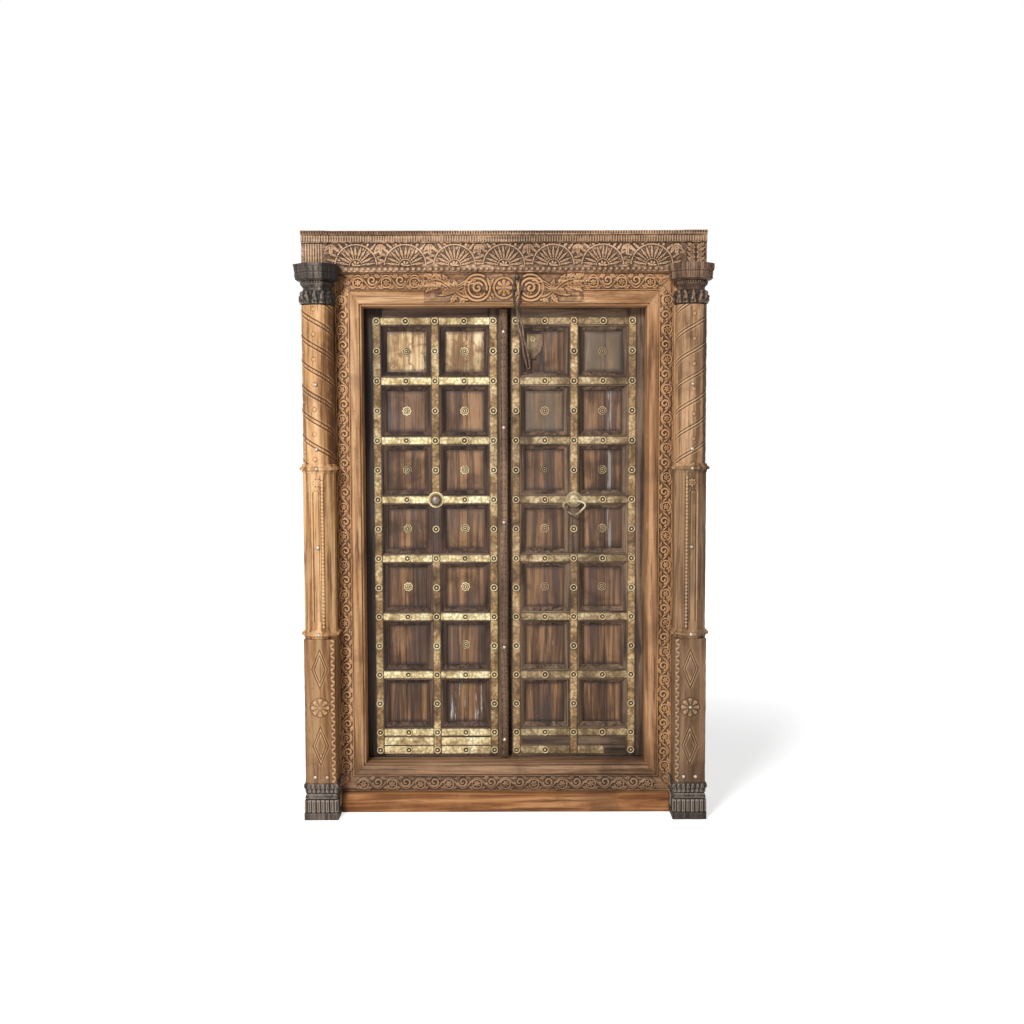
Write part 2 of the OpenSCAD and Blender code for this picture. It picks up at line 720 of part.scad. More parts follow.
module top_rail(side) {
    rail(side, z_rows[0] - grid_w / 2, leaf_top);
}

module cross_rails(side) {
    for (i = [1:row_count - 2]) rail(side, z_rows[i] - grid_w / 2, z_rows[i] + grid_w / 2);
}

module bottom_rail(side) {
    rail(side, z_leaf, z_last + grid_w / 2);
}

module muntins(side) {
    color(leaf_wood) hand(side) for (i = [0:row_count - 2])
        block([column_x[1] - grid_w / 2, y_leaf, z_rows[i + 1] + grid_w / 2],
            [column_x[1] + grid_w / 2, y_plank, z_rows[i] - grid_w / 2]);
}

module planks(side) {
    plank_gap = 0.8;
    w = (grid_out - grid_in) / plank_count;
    color(plank_wood) hand(side) for (i = [0:plank_count - 1])
        block([grid_in + i * w + (i > 0 ? plank_gap : 0), y_plank, z_leaf],
            [grid_in + (i + 1) * w, y_leaf + leaf_t, leaf_top]);
}

// Runs its children at the middle of the panels of a leaf, counted from the top inner one
last_panel = 2 * row_count - 3;
module at_panels(side, first = 0, last = last_panel) {
    hand(side) for (n = [first:last]) {
        i = floor(n / 2);
        j = n % 2;
        translate([(column_x[j] + column_x[j + 1]) / 2, y_plank, (z_rows[i] + z_rows[i + 1]) / 2])
            children();
    }
}

// A four-sided funnel towards the front, from the opening a to the opening b
module funnel(a, b, h) {
    corners = [[-1, -1], [1, -1], [1, 1], [-1, 1]] / 2;
    polyhedron(concat([for (c = corners) [c[0] * a[0], 0, c[1] * a[1]]],
        [for (c = corners) [c[0] * b[0], -h, c[1] * b[1]]]),
        concat([[0, 1, 2, 3], [7, 6, 5, 4]],
            [for (i = [0:3]) [i, i + 4, (i + 1) % 4 + 4, (i + 1) % 4]]));
}

module panel_mouldings(side) {
    w = column_pitch - grid_w;
    h = row_pitch - grid_w;
    lip = 5;
    edge = 2;
    inner = [w - 2 * moulding_w, h - 2 * moulding_w];
    outer = [w - 2 * edge, h - 2 * edge];
    color(leaf_wood) at_panels(side) difference() {
        translate([-w / 2, -moulding_h, -h / 2]) cube([w, moulding_h, h]);
        translate([-inner[0] / 2, -lip - 1, -inner[1] / 2]) cube([inner[0], lip + 2, inner[1]]);
        translate([0, -lip, 0]) funnel(inner, outer, moulding_h - lip + 0.01);
    }
}

// The lowest panels have lost their flowers, and the right leaf's first holds the hasp's bracket
module panel_flowers(side) {
    first = side == LEFT ? 0 : 1;
    lost = side == LEFT ? 3 : 4;
    color(brass) at_panels(side, first, last_panel - lost) rotate([90, 0, 0]) {
        linear_extrude(3) for (i = [0:7]) rotate(45 * i) translate([flower_r * 0.62, 0])
            circle(flower_r * 0.36);
        rotate_extrude() polygon([[0, 0], [flower_r * 0.6, 0], [flower_r * 0.42, 5],
            [flower_r * 0.2, 8], [0, 9]]);
    }
}

// Brass straps on the front of the grid: the uprights run down past the kick bands, and the
// middle one has lost its length under the knob and the ring
kick_h = 28;
kick_gap = 5;
z_kick = z_last - strap_w / 2 - 2 * (kick_gap + kick_h);
module upright_strap(x, z0, z1) {
    block([x - strap_w / 2, y_leaf - strap_t, z0], [x + strap_w / 2, y_leaf, z1]);
}

module upright_straps(side) {
    z1 = z_row0 + strap_w / 2;
    color(brass) hand(side) {
        for (x = [column_x[0], column_x[2]]) upright_strap(x, z_kick, z1);
        upright_strap(column_x[1], z_kick, z_rows[grip_row + 1] + strap_w / 2);
        upright_strap(column_x[1], z_rows[grip_row] - strap_w / 2, z1);
    }
}

butt_gap = 0.3;
butt = strap_w / 2 + butt_gap;
module cross_straps(side) {
    color(brass) hand(side) for (z = z_rows) for (j = [0:1])
        block([column_x[j] + butt, y_leaf - strap_t, z - strap_w / 2],
            [column_x[j + 1] - butt, y_leaf, z + strap_w / 2]);
}

// Brass bands under the lowest strap: two rows on the left, one broken off on the right
module kick_band(side, x0, x1, z) {
    color(brass) hand(side) block([x0, y_leaf - strap_t, z], [x1, y_leaf, z + kick_h]);
}

module left_kick_bands() {
    for (z = [z_kick, z_kick + kick_h + kick_gap]) for (j = [0:1])
        kick_band(LEFT, column_x[j] + butt, column_x[j + 1] - butt, z);
}

module right_kick_bands() {
    broken_x = column_x[1] + column_pitch * 0.53;
    kick_band(RIGHT, column_x[0] + butt, column_x[1] - butt, z_kick);
    kick_band(RIGHT, column_x[1] + butt, broken_x, z_kick);
}

module strap_boss() {
    rotate([90, 0, 0]) rotate_extrude()
        polygon([[0, 0], [boss_r, 0], [boss_r, boss_h * 0.25], [boss_r * 0.8, boss_h * 0.55],
            [boss_r * 0.58, boss_h * 0.35], [boss_r * 0.42, boss_h * 0.85], [0, boss_h]]);
}

// Bosses along the lowest band: five on the left leaf, and the three left on the right one
function kick_boss_x(side) = let (c = column_x, half = column_pitch / 2)
    side == LEFT ? [c[0], c[0] + half, c[1], c[1] + half, c[2]] : [c[0], c[0] + half, c[2]];
module strap_bosses(side) {
    y = y_leaf - strap_t;
    color(brass) hand(side) {
        for (i = [0:row_count - 1]) for (j = [0:2])
            if (i != grip_row || j != 1) translate([column_x[j], y, z_rows[i]]) strap_boss();
        for (i = [0:row_count - 2]) for (j = [0:2]) {
            seat = i == grip_row && j == 1 ? y_leaf : y;
            translate([column_x[j], seat, (z_rows[i] + z_rows[i + 1]) / 2]) strap_boss();
        }
        for (z = z_rows) for (j = [0:1])
            translate([(column_x[j] + column_x[j + 1]) / 2, y, z]) strap_boss();
        for (x = kick_boss_x(side)) translate([x, y, z_kick + kick_h / 2]) strap_boss();
    }
}

// Carved bar over the meeting edge, nailed to the left leaf
bar_x0 = -19;
bar_t = 14;
bar_top = z_head - leaf_gap;
module meeting_bar() {
    x1 = meeting_past;
    mid = (bar_x0 + x1) / 2;
    w = x1 - bar_x0;
    pitch = 26;
    h = bar_top - z_leaf;
    n = floor(h / pitch);
    color(dark_wood) {
        translate([0, 0, z_leaf]) linear_extrude(h)
            polygon([[bar_x0, y_leaf], [bar_x0, y_leaf - bar_t * 0.6], [bar_x0 + 5, y_leaf - bar_t],
                [x1 - 5, y_leaf - bar_t], [x1, y_leaf - bar_t * 0.6], [x1, y_leaf]]);
        for (i = [0:n - 1])
            translate([mid, y_leaf - bar_t + sink, z_leaf + (i + 0.5) * h / n])
                rotate([90, 0, 0]) cylinder(r = w * 0.3, h = 3 + sink, $fn = 4);
    }
}

module meeting_bar_studs() {
    mid = (bar_x0 + meeting_past) / 2;
    color(nickel) for (k = [0.04, 0.25, 0.53, 0.74, 0.95])
        translate([mid, y_leaf - bar_t - 3, z_leaf + k * (bar_top - z_leaf)]) stud();
}

// Knob of the left leaf, on a ribbed brass washer
washer_t = 5;
washer_r = 30;
module left_knob_washer() {
    color(brass) translate([-column_x[1], y_leaf - strap_t, z_rows[grip_row]]) rotate([90, 0, 0])
        rotate_extrude() polygon([[0, 0], [washer_r, 0], [washer_r * 0.95, washer_t * 0.6],
            [washer_r * 0.85, washer_t], [0, washer_t]]);
}

module left_knob() {
    r = 21;
    color(iron) translate([-column_x[1], y_leaf - strap_t - washer_t, z_rows[grip_row]])
        rotate([90, 0, 0]) rotate_extrude()
            polygon([[0, 0], [r, 0], [r, dome_h * 0.2], [r * 0.92, dome_h * 0.5],
                [r * 0.7, dome_h * 0.8], [r * 0.35, dome_h * 0.97], [0, dome_h]]);
}

// Boss and eye that carry the pull ring on the right leaf
eye_r = 10;
eye_t = 10;
eye_gap = 0.6;
y_eye = y_leaf - strap_t - dome_h - eye_r + 3;
z_eye = z_rows[grip_row] - 4;
module ring_boss() {
    r = 29;
    color(brass) translate([column_x[1], 0, 0]) difference() {
        union() {
            translate([0, y_leaf - strap_t, z_rows[grip_row]]) rotate([90, 0, 0]) rotate_extrude()
                polygon([[0, 0], [r, 0], [r, 4], [r * 0.86, 7], [r * 0.8, dome_h * 0.5],
                    [r * 0.55, dome_h * 0.85], [0, dome_h]]);
            translate([-eye_t / 2, y_eye, z_eye]) rotate([0, 90, 0]) cylinder(r = eye_r, h = eye_t);
            block([-eye_t / 2, y_eye, z_eye - eye_r * 0.7],
                [eye_t / 2, y_leaf - strap_t - dome_h / 3, z_eye + eye_r * 0.7]);
        }
        translate([-eye_t, y_eye, z_eye]) rotate([0, 90, 0])
            cylinder(r = ring_rod_r + eye_gap, h = 2 * eye_t);
    }
}

// A round rod swept along a row of points; sides of the rod follow the path
function along(p, i, closed) =
    let (n = len(p),
        d = closed ? p[(i + 1) % n] - p[(i + n - 1) % n] : p[min(i + 1, n - 1)] - p[max(i - 1, 0)])
    d / norm(d);
function rod_ring(p, i, r, sides, side_dir, closed) =
    let (t = along(p, i, closed), b = cross(t, side_dir), u = b / norm(b), v = cross(u, t))
    [for (k = [0:sides - 1]) p[i] + r * (cos(360 * k / sides) * u + sin(360 * k / sides) * v)];
module loop_rod(p, r, side_dir, sides = 10) {
    n = len(p);
    pts = [for (i = [0:n - 1]) each rod_ring(p, i, r, sides, side_dir, true)];
    polyhedron(pts, [for (i = [0:n - 1]) for (k = [0:sides - 1])
        [i * sides + k, i * sides + (k + 1) % sides,
         (i + 1) % n * sides + (k + 1) % sides, (i + 1) % n * sides + k]], convexity = 6);
}

// Pull ring: a straight bar through the eye, widening to the sides and pointed below
module pull_ring() {
    bar = eye_t / 2 + 4;
    w = ring_half_w;
    side = [for (t = [0:0.125:1])
        let (a = 90 - 150 * t) [bar + (w - bar) * cos(a) * (1 + 0.1 * sin(a)) , 0,
            -w * 0.42 + w * 0.42 * sin(a) * (t < 0.6 ? 1 : 1.15)]];
    right = concat([[bar * 0.6, 0, 0], [bar, 0, 0]], [for (i = [1:len(side) - 2]) side[i]],
        [[w * 0.45, 0, -ring_drop * 0.82], [w * 0.2, 0, -ring_drop * 0.94]]);
    path = concat(right, [[0, 0, -ring_drop]],
        [for (i = [len(right) - 1:-1:0]) [-right[i][0], 0, right[i][2]]]);
    color(brass) translate([column_x[1], y_eye, z_eye]) loop_rod(path, ring_rod_r, [0, 1, 0]);
}

// Hasp: an eye driven into the header, and two links that hang from it
staple_x = 45;
z_staple = z_lintel - 18;
shank_l = 46;
link_gap = 0.5;
y_link = y_face - relief - 8;
staple_gap = 0.2;
module staple_bore() {
    translate([staple_x, y_face + shank_l, z_staple]) rotate([90, 0, 0])
        cylinder(r = hasp_rod_r + staple_gap, h = shank_l + 40);
}

module hasp_staple() {
    y_tip = y_link - hasp_rod_r - 3;
    ring_r = 8;
    eye_half = hasp_rod_r - 0.6;
    color(iron) translate([staple_x, 0, z_staple]) {
        translate([0, y_face + shank_l, 0]) rotate([90, 0, 0])
            cylinder(r = hasp_rod_r, h = y_face + shank_l - y_tip);
        translate([-eye_half, y_tip - ring_r + 2, 0]) rotate([0, 90, 0]) difference() {
            cylinder(r = ring_r, h = 2 * eye_half);
            translate([0, 0, -1]) cylinder(r = ring_r - hasp_rod_r, h = 2 * eye_half + 2);
        }
    }
}

// Upper link: two long arcs closed by small ones, hung with its top rod over the shank
end_r = 2 * hasp_rod_r + staple_gap + link_gap;
z_link = z_staple + hasp_rod_r * 2 + link_gap;
module hasp_upper_link() {
    half_l = hasp_upper_l / 2;
    e = half_l - end_r;
    big_r = (hasp_half_w * hasp_half_w + e * e - end_r * end_r) / (2 * (hasp_half_w - end_r));
    cx = big_r - hasp_half_w;
    a = atan2(e, cx);
    n_end = 8;
    n_side = 12;
    end_arc = [for (i = [0:n_end]) let (t = a + (180 - 2 * a) * i / n_end)
        [end_r * cos(t), 0, e + end_r * sin(t)]];
    left_arc = [for (i = [1:n_side - 1]) let (t = 180 - a + 2 * a * i / n_side)
        [cx + big_r * cos(t), 0, big_r * sin(t)]];
    half_path = concat(end_arc, left_arc);
    path = concat(half_path, [for (p = half_path) -p]);
    color(iron) translate([staple_x, y_link, z_link - half_l]) loop_rod(path, hasp_rod_r, [0, 1, 0]);
}

// Lower link: a twisted pair of rods that hangs from the upper link and leans to the leaf
link_eye_gap = 0.8;
lower_dx = 44;
hasp_end_gap = 1.5;
z_low_eye = z_link - hasp_upper_l;
y_plate = y_plank - 4;
z_hook = z_rows[0] - row_pitch * 0.79;
lower_r = 2.6;
module hasp_lower_link() {
    eye = hasp_rod_r + link_eye_gap + lower_r;
    back = y_plate - hasp_end_gap - lower_r - y_link;
    drop = z_low_eye - z_hook;
    l = norm([back, drop]);
    neck = lower_r + 0.8;
    bulge = 4.5;
    end_w = 5;
    half = concat(
        [for (a = [0:22.5:90]) [eye * sin(a), eye * cos(a)]],
        [[eye * 0.92, -eye * 0.7], [neck, -eye * 2.2]],
        [for (t = [0.2:0.1:0.8]) [neck + bulge * 0.5 * (1 - cos(720 * t)), -l * t]],
        [for (a = [0:22.5:67.5]) [end_w * cos(a), end_w - l - end_w * sin(a)]]);
    outline = concat(half, [[0, -l]], [for (i = [len(half) - 1:-1:1]) [-half[i][0], half[i][1]]]);
    // The eye lies across the upper link's rod, and the pair of rods turns to face the front below
    path = [for (q = outline)
        let (turn = 90 * max(0, min(1, -q[1] / l * 4)))
        [q[0] * sin(turn) - min(0, q[1]) / l * lower_dx, -q[0] * cos(turn), q[1]]];
    color(iron) translate([staple_x, y_link, z_low_eye]) rotate([atan2(back, drop), 0, 0])
        loop_rod(path, lower_r, [1, 0.4, 0.2], 8);
}

// Bracket on the right leaf: an ogee plate on the planks with a boss and a curled tip
module hasp_bracket() {
    w = 58;
    h = 92;
    x0 = staple_x + lower_dx - 6;
    z0 = z_hook + 34;
    t = y_plank - y_plate;
    outline = concat([[0, h], [w, h], [w, h * 0.55]],
        [for (a = [0:20:90]) [w * 0.62 + w * 0.3 * cos(a), h * 0.5 - h * 0.28 * sin(a)]],
        [[w * 0.5, h * 0.06], [w * 0.36, 0], [w * 0.22, h * 0.1]],
        [for (a = [90:-20:0]) [w * 0.3 - w * 0.3 * cos(a), h * 0.5 - h * 0.28 * sin(a)]],
        [[0, h * 0.55]]);
    color(iron) translate([x0, y_plank, z0]) {
        rotate([90, 0, 0]) linear_extrude(t) polygon(outline);
        translate([w * 0.2, -t - 3, 4]) rotate([0, 90, 0]) cylinder(r = 4, h = w * 0.32);
    }
}

module bracket_boss() {
    color(brass) translate([staple_x + lower_dx + 14, y_plate, z_hook + 108]) rotate([90, 0, 0]) {
        linear_extrude(3) for (i = [0:5]) rotate(60 * i) translate([6, 0]) circle(4.5);
        rotate_extrude() polygon([[0, 0], [6, 0], [4.5, 5], [2, 8], [0, 8.5]]);
    }
}

lintel();
header();
post(LEFT);  // left_post
post(RIGHT);  // right_post
sill();
threshold();
top_vine_boards();
side_vine_board(LEFT);  // left_vine_board
side_vine_board(RIGHT);  // right_vine_board
bottom_vine_board();
top_architraves();
side_architrave(LEFT);  // left_architrave
side_architrave(RIGHT);  // right_architrave
bottom_architrave();
header_crest();
pilaster(LEFT);  // left_pilaster
pilaster(RIGHT);  // right_pilaster
capital(LEFT);  // left_capital
capital(RIGHT);  // right_capital
foot(LEFT);  // left_foot
foot(RIGHT);  // right_foot
pilaster_studs();
hasp_staple();
hinge_stile(LEFT);  // left_hinge_stile
meeting_stile(LEFT);  // left_meeting_stile
top_rail(LEFT);  // left_top_rail
cross_rails(LEFT);  // left_cross_rails
bottom_rail(LEFT);  // left_bottom_rail
muntins(LEFT);  // left_muntins
planks(LEFT);  // left_planks
panel_mouldings(LEFT);  // left_panel_mouldings
upright_straps(LEFT);  // left_upright_straps
cross_straps(LEFT);  // left_cross_straps
left_kick_bands();
strap_bosses(LEFT);  // left_strap_bosses
panel_flowers(LEFT);  // left_panel_flowers
meeting_bar();
meeting_bar_studs();
left_knob();
left_knob_washer();
hinge_stile(RIGHT);  // right_hinge_stile
meeting_stile(RIGHT);  // right_meeting_stile
top_rail(RIGHT);  // right_top_rail
cross_rails(RIGHT);  // right_cross_rails
bottom_rail(RIGHT);  // right_bottom_rail
muntins(RIGHT);  // right_muntins
planks(RIGHT);  // right_planks
panel_mouldings(RIGHT);  // right_panel_mouldings
upright_straps(RIGHT);  // right_upright_straps
cross_straps(RIGHT);  // right_cross_straps
right_kick_bands();
strap_bosses(RIGHT);  // right_strap_bosses
panel_flowers(RIGHT);  // right_panel_flowers
ring_boss();
hasp_bracket();
bracket_boss();
pull_ring();
hasp_upper_link();
hasp_lower_link();
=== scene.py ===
# %% [markdown]
# A carved double door in its frame
#
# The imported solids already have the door's sizes, pieces and hinges. This lesson gives them
# their looks: carving as fine height maps, turned and wrapped pilasters, rows of bosses made
# with Geometry Nodes, and procedural finishes for old hardwood, brass and iron.

# %% Load the frame
import math

import bmesh
import bpy
import numpy as np
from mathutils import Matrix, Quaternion, Vector


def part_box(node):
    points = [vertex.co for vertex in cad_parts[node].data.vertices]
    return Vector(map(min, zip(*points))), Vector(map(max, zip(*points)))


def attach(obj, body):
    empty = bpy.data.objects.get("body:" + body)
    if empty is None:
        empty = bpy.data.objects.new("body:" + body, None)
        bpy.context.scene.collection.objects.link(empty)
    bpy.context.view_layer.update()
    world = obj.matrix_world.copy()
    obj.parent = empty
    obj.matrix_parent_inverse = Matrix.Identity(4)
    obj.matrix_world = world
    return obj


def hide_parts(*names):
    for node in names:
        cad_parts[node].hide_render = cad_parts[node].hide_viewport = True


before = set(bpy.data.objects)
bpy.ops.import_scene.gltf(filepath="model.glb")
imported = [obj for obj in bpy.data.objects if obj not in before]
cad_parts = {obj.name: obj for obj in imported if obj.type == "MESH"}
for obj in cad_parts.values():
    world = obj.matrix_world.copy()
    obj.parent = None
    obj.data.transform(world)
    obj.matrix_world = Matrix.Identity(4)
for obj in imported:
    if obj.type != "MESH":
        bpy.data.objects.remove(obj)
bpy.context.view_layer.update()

MM = 0.001
rng = np.random.default_rng(11)

# %% [markdown]
# Every place in this file is read from the solids, in millimetres, so that a new piece sits
# where the CAD piece sits. Only a few sizes of ornament are written out.


# %% Measure the solids
def span(node):
    """Lowest and highest corner of a CAD node, in millimetres."""
    low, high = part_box(node)
    return np.array(low) / MM, np.array(high) / MM


post_low, post_high = span("right_post")
vine_low, vine_high = span("right_vine_board")
arch_low, arch_high = span("right_architrave")
crest_low, crest_high = span("header_crest")
lintel_low, lintel_high = span("lintel")
sill_vine_low = span("bottom_vine_board")[0]
foot_low, foot_high = span("right_foot")
capital_low, capital_high = span("right_capital")
strap_low, strap_high = span("right_upright_straps")
cross_low, cross_high = span("right_cross_straps")

Y_FACE = post_low[1]
Y_BACK = post_high[1]
X_OPEN = post_low[0]
X_VINE, X_SEAT = vine_low[0], vine_high[0]
Z_ARCH, Z_LINTEL, Z_TOP = arch_high[2], lintel_low[2], lintel_high[2]
Z_SILL_VINE, Z_SILL_ARCH = sill_vine_low[2], arch_low[2]
CREST = crest_high[0]
PILASTER_X = (foot_low[0] + foot_high[0]) / 2
PILASTER_R = 58.0
PILASTER_OUT = 62.0
Y_PILASTER = Y_FACE - PILASTER_OUT
Y_PLANK = span("right_planks")[0][1]
ROWS, GRIP_ROW = 8, 3
STRAP_HALF = 15.0
columns = np.linspace(strap_low[0] + STRAP_HALF, strap_high[0] - STRAP_HALF, 3)
rows = np.linspace(cross_high[2] - STRAP_HALF, cross_low[2] + STRAP_HALF, ROWS)
print("opening half width", X_OPEN, "carved face at y", Y_FACE, "pilaster axis at x", PILASTER_X)

# %% [markdown]
# Old wood is the main finish. Its grain is a noise stretched along one axis of the piece, so a
# post and a rail need the same material turned a different way. A second, broad noise makes
# stains, and a cavity attribute, written on the carved meshes further down, darkens the hollows
# with dirt and painted shade, and brightens what hands have rubbed, with a painted highlight on raised parts.


# %% Node helpers
def add(tree, kind, inputs=None, **settings):
    """A new node, with its settings, values and links given at once."""
    made = tree.nodes.new(kind)
    for name, value in settings.items():
        setattr(made, name, value)
    for name, value in (inputs or {}).items():
        if isinstance(value, bpy.types.NodeSocket):
            tree.links.new(value, made.inputs[name])
        else:
            made.inputs[name].default_value = value
    return made


def linear(colour):
    """A colour written as it looks on screen, 0 to 255, as linear values with alpha."""
    return tuple(((c / 255 + 0.055) / 1.055) ** 2.4 if c > 10 else c / 3294 for c in colour) + (1,)


def ramp(tree, factor, stops):
    """A colour ramp with the given (position, colour) stops."""
    made = add(tree, "ShaderNodeValToRGB", {"Fac": factor})
    while len(made.color_ramp.elements) < len(stops):
        made.color_ramp.elements.new(0.5)
    for element, (place, colour) in zip(made.color_ramp.elements, stops):
        element.position = place
        element.color = linear(colour)
    return made.outputs["Color"]


def mix(tree, factor, a, b):
    """Two colours mixed by a factor; a colour is a socket or three numbers."""
    made = add(tree, "ShaderNodeMix", data_type="RGBA")
    for socket, value in zip((made.inputs[0], made.inputs[6], made.inputs[7]), (factor, a, b)):
        if isinstance(value, bpy.types.NodeSocket):
            tree.links.new(value, socket)
        else:
            socket.default_value = linear(value) if isinstance(value, tuple) else value
    return made.outputs[2]


def fit(tree, value, low, high, to_low=0.0, to_high=1.0):
    """A value moved from one range to another, and held inside it."""
    made = add(tree, "ShaderNodeMapRange", {"Value": value, "From Min": low, "From Max": high,
        "To Min": to_low, "To Max": to_high}, interpolation_type="SMOOTHSTEP")
    return made.outputs["Result"]


def noise(tree, vector, scale, detail=4.0, rough=0.55, distortion=0.0):
    """A noise, as one value."""
    made = add(tree, "ShaderNodeTexNoise", {"Vector": vector, "Scale": scale, "Detail": detail,
        "Roughness": rough, "Distortion": distortion})
    return made.outputs["Fac"]


def math_node(tree, operation, a, b=0.0):
    """One step of arithmetic on sockets or numbers."""
    made = add(tree, "ShaderNodeMath", operation=operation)
    for socket, value in zip(made.inputs, (a, b)):
        if isinstance(value, bpy.types.NodeSocket):
            tree.links.new(value, socket)
        else:
            socket.default_value = value
    return made.outputs[0]


def from_line(tree, value, lines):
    """Distance in metres from the nearest of evenly spaced lines, given by the first two in mm."""
    pitch = abs(lines[1] - lines[0]) * MM
    offset = math_node(tree, "SUBTRACT", math_node(tree, "ABSOLUTE", value), lines[0] * MM)
    return math_node(tree, "PINGPONG", offset, pitch / 2)


def new_material(name):
    """An empty material: its tree, its Principled shader and the object coordinates."""
    made = bpy.data.materials.new(name)
    made.use_nodes = True
    tree = made.node_tree
    shader = tree.nodes["Principled BSDF"]
    place = add(tree, "ShaderNodeTexCoord").outputs["Object"]
    return made, tree, shader, place


# %% Old wood
GRAIN = {"x": (1.6, 34, 34), "y": (34, 1.6, 34), "z": (34, 34, 1.6)}


def old_wood(name, axis, tones, dirt_and_shade, rub_and_highlight, stain=0.5, rough=(0.5, 0.78), ground=0.0, bump=0.35, shades=()):
    """Hardwood with its grain along one axis; tones are the dark, middle and light of the grain.
    Each of the shades is a height in metres and how much darker the wood is below it."""
    made, tree, shader, place = new_material(name)
    along = add(tree, "ShaderNodeMapping", {"Vector": place, "Scale": GRAIN[axis]}).outputs[0]
    grain = noise(tree, along, 1.0, 7, 0.62, 0.9)
    fibre = noise(tree, along, 5.5, 5, 0.7, 0.2)
    cloud = noise(tree, place, 4.2, 4, 0.6, 0.4)
    speck = noise(tree, place, 95.0, 3, 0.65)
    cavity = add(tree, "ShaderNodeAttribute", attribute_name="cavity").outputs["Fac"]
    crack = noise(tree, along, 2.3, 2, 0.5, 0.4)
    colour = ramp(tree, grain, [(0.39, tones[0]), (0.5, tones[1]), (0.62, tones[2])])
    colour = mix(tree, fit(tree, fibre, 0.54, 0.72, 0, 0.65), colour, dirt_and_shade)
    colour = mix(tree, fit(tree, crack, 0.60, 0.68, 0, 0.7), colour, dirt_and_shade)
    colour = mix(tree, fit(tree, cloud, 0.48, 0.68, 0, stain), colour, dirt_and_shade)
    colour = mix(tree, fit(tree, cloud, 0.46, 0.30, 0, 0.45), colour, tones[2])
    colour = mix(tree, fit(tree, speck, 0.60, 0.74, 0, 0.5), colour, dirt_and_shade)
    height = add(tree, "ShaderNodeSeparateXYZ", {"Vector": place}).outputs["Z"]
    for top, amount in shades:
        colour = mix(tree, fit(tree, height, top + 0.01, top - 0.01, 0, amount), colour, dirt_and_shade)
    if ground:
        wet = math_node(tree, "MULTIPLY", fit(tree, height, 0.42, 0.05, 0, ground),
            fit(tree, cloud, 0.36, 0.58))
        colour = mix(tree, wet, colour, dirt_and_shade)
    # Raised parts get rubbed wear and a painted highlight; hollows get dirt and painted shade.
    colour = mix(tree, fit(tree, cavity, 0.08, 0.8, 0, 0.7), colour, rub_and_highlight)
    colour = mix(tree, fit(tree, cavity, -0.06, -0.75, 0, 0.92), colour, dirt_and_shade)
    tree.links.new(colour, shader.inputs["Base Color"])
    tree.links.new(fit(tree, grain, 0.35, 0.7, rough[1], rough[0]), shader.inputs["Roughness"])
    deep = math_node(tree, "MULTIPLY", math_node(tree, "ADD", fibre, speck), 0.5)
    relief = add(tree, "ShaderNodeBump", {"Strength": bump, "Distance": 0.0012, "Height": deep})
    tree.links.new(relief.outputs[0], shader.inputs["Normal"])
    shader.inputs["Specular IOR Level"].default_value = 0.35
    return made


TAN = [(128, 86, 52), (172, 127, 86), (204, 162, 118)]
# The dirt colours also paint shade into hollows, and the rub colours paint highlights on raised parts.
TAN_DIRT_SHADE = (78, 49, 28)
TAN_RUB_HIGHLIGHT = (212, 170, 126)
wood_z = old_wood("tan_wood_upright", "z", TAN, TAN_DIRT_SHADE, TAN_RUB_HIGHLIGHT, 0.5, ground=0.7)
wood_x = old_wood("tan_wood_level", "x", TAN, TAN_DIRT_SHADE, TAN_RUB_HIGHLIGHT, 0.5)
SILL = [(98, 70, 48), (136, 102, 74), (168, 132, 100)]
sill_wood = old_wood("sill_wood", "x", SILL, (62, 42, 28), (176, 142, 110), 0.55)
CARVED = [(120, 82, 50), (164, 119, 80), (194, 150, 108)]
CARVED_DIRT_SHADE = (58, 34, 19)
CARVED_RUB_HIGHLIGHT = (204, 162, 118)
carved_z = old_wood("carved_wood_upright", "z", CARVED, CARVED_DIRT_SHADE, CARVED_RUB_HIGHLIGHT, 0.4, ground=0.6)
carved_x = old_wood("carved_wood_level", "x", CARVED, CARVED_DIRT_SHADE, CARVED_RUB_HIGHLIGHT, 0.4)
# A lighter copy of the carved wood for the left vine board, painted light where the pilaster shades it.
LIT_VINE = [(142, 99, 62), (188, 139, 95), (216, 170, 124)]
lit_left_vine = old_wood("left_carved_wood", "z", LIT_VINE, (74, 44, 25), (226, 182, 134), 0.35, ground=0.5)
sill_carved = old_wood("sill_carved_wood", "x", SILL, (44, 29, 19), (164, 132, 104), 0.45)
LINTEL = [(122, 90, 64), (166, 130, 99), (202, 164, 130)]
lintel_wood = old_wood("lintel_wood", "x", LINTEL, (54, 35, 22), (214, 178, 144), 0.45)
# Lit and shaded copies of one wood: the left pilaster is painted lighter and the right one darker, for light
# from the left.
LIT_PILASTER = [(138, 94, 56), (188, 141, 94), (216, 173, 124)]
SHADED_PILASTER = [(118, 86, 58), (166, 128, 92), (200, 160, 120)]
Z_BLOCK, Z_ROUND = 0.655, 1.26
pilaster_wood = {
    -1: old_wood("left_pilaster_wood", "z", LIT_PILASTER, (84, 52, 28), (220, 178, 130), 0.5, ground=0.3,
        shades=[(Z_BLOCK, 0.5)]),
    1: old_wood("right_pilaster_wood", "z", SHADED_PILASTER, (66, 45, 29), (206, 168, 128), 0.5, ground=0.3,
        shades=[(Z_ROUND, 0.37), (Z_BLOCK, 0.3)])}
DARK = [(46, 38, 33), (76, 65, 57), (114, 100, 88)]
dark_wood = old_wood("dark_wood", "z", DARK, (22, 17, 14), (172, 156, 140), 0.5)
capital_wood = old_wood("capital_wood", "z", DARK, (20, 15, 12), (150, 136, 122), 0.5)
BROWN = [(66, 46, 33), (104, 78, 60), (142, 112, 90)]
Z_ABACUS = 1.909
brown_wood = old_wood("brown_wood", "z", BROWN, (28, 20, 15), (164, 132, 106), 0.5, shades=[(Z_ABACUS, 0.5)])
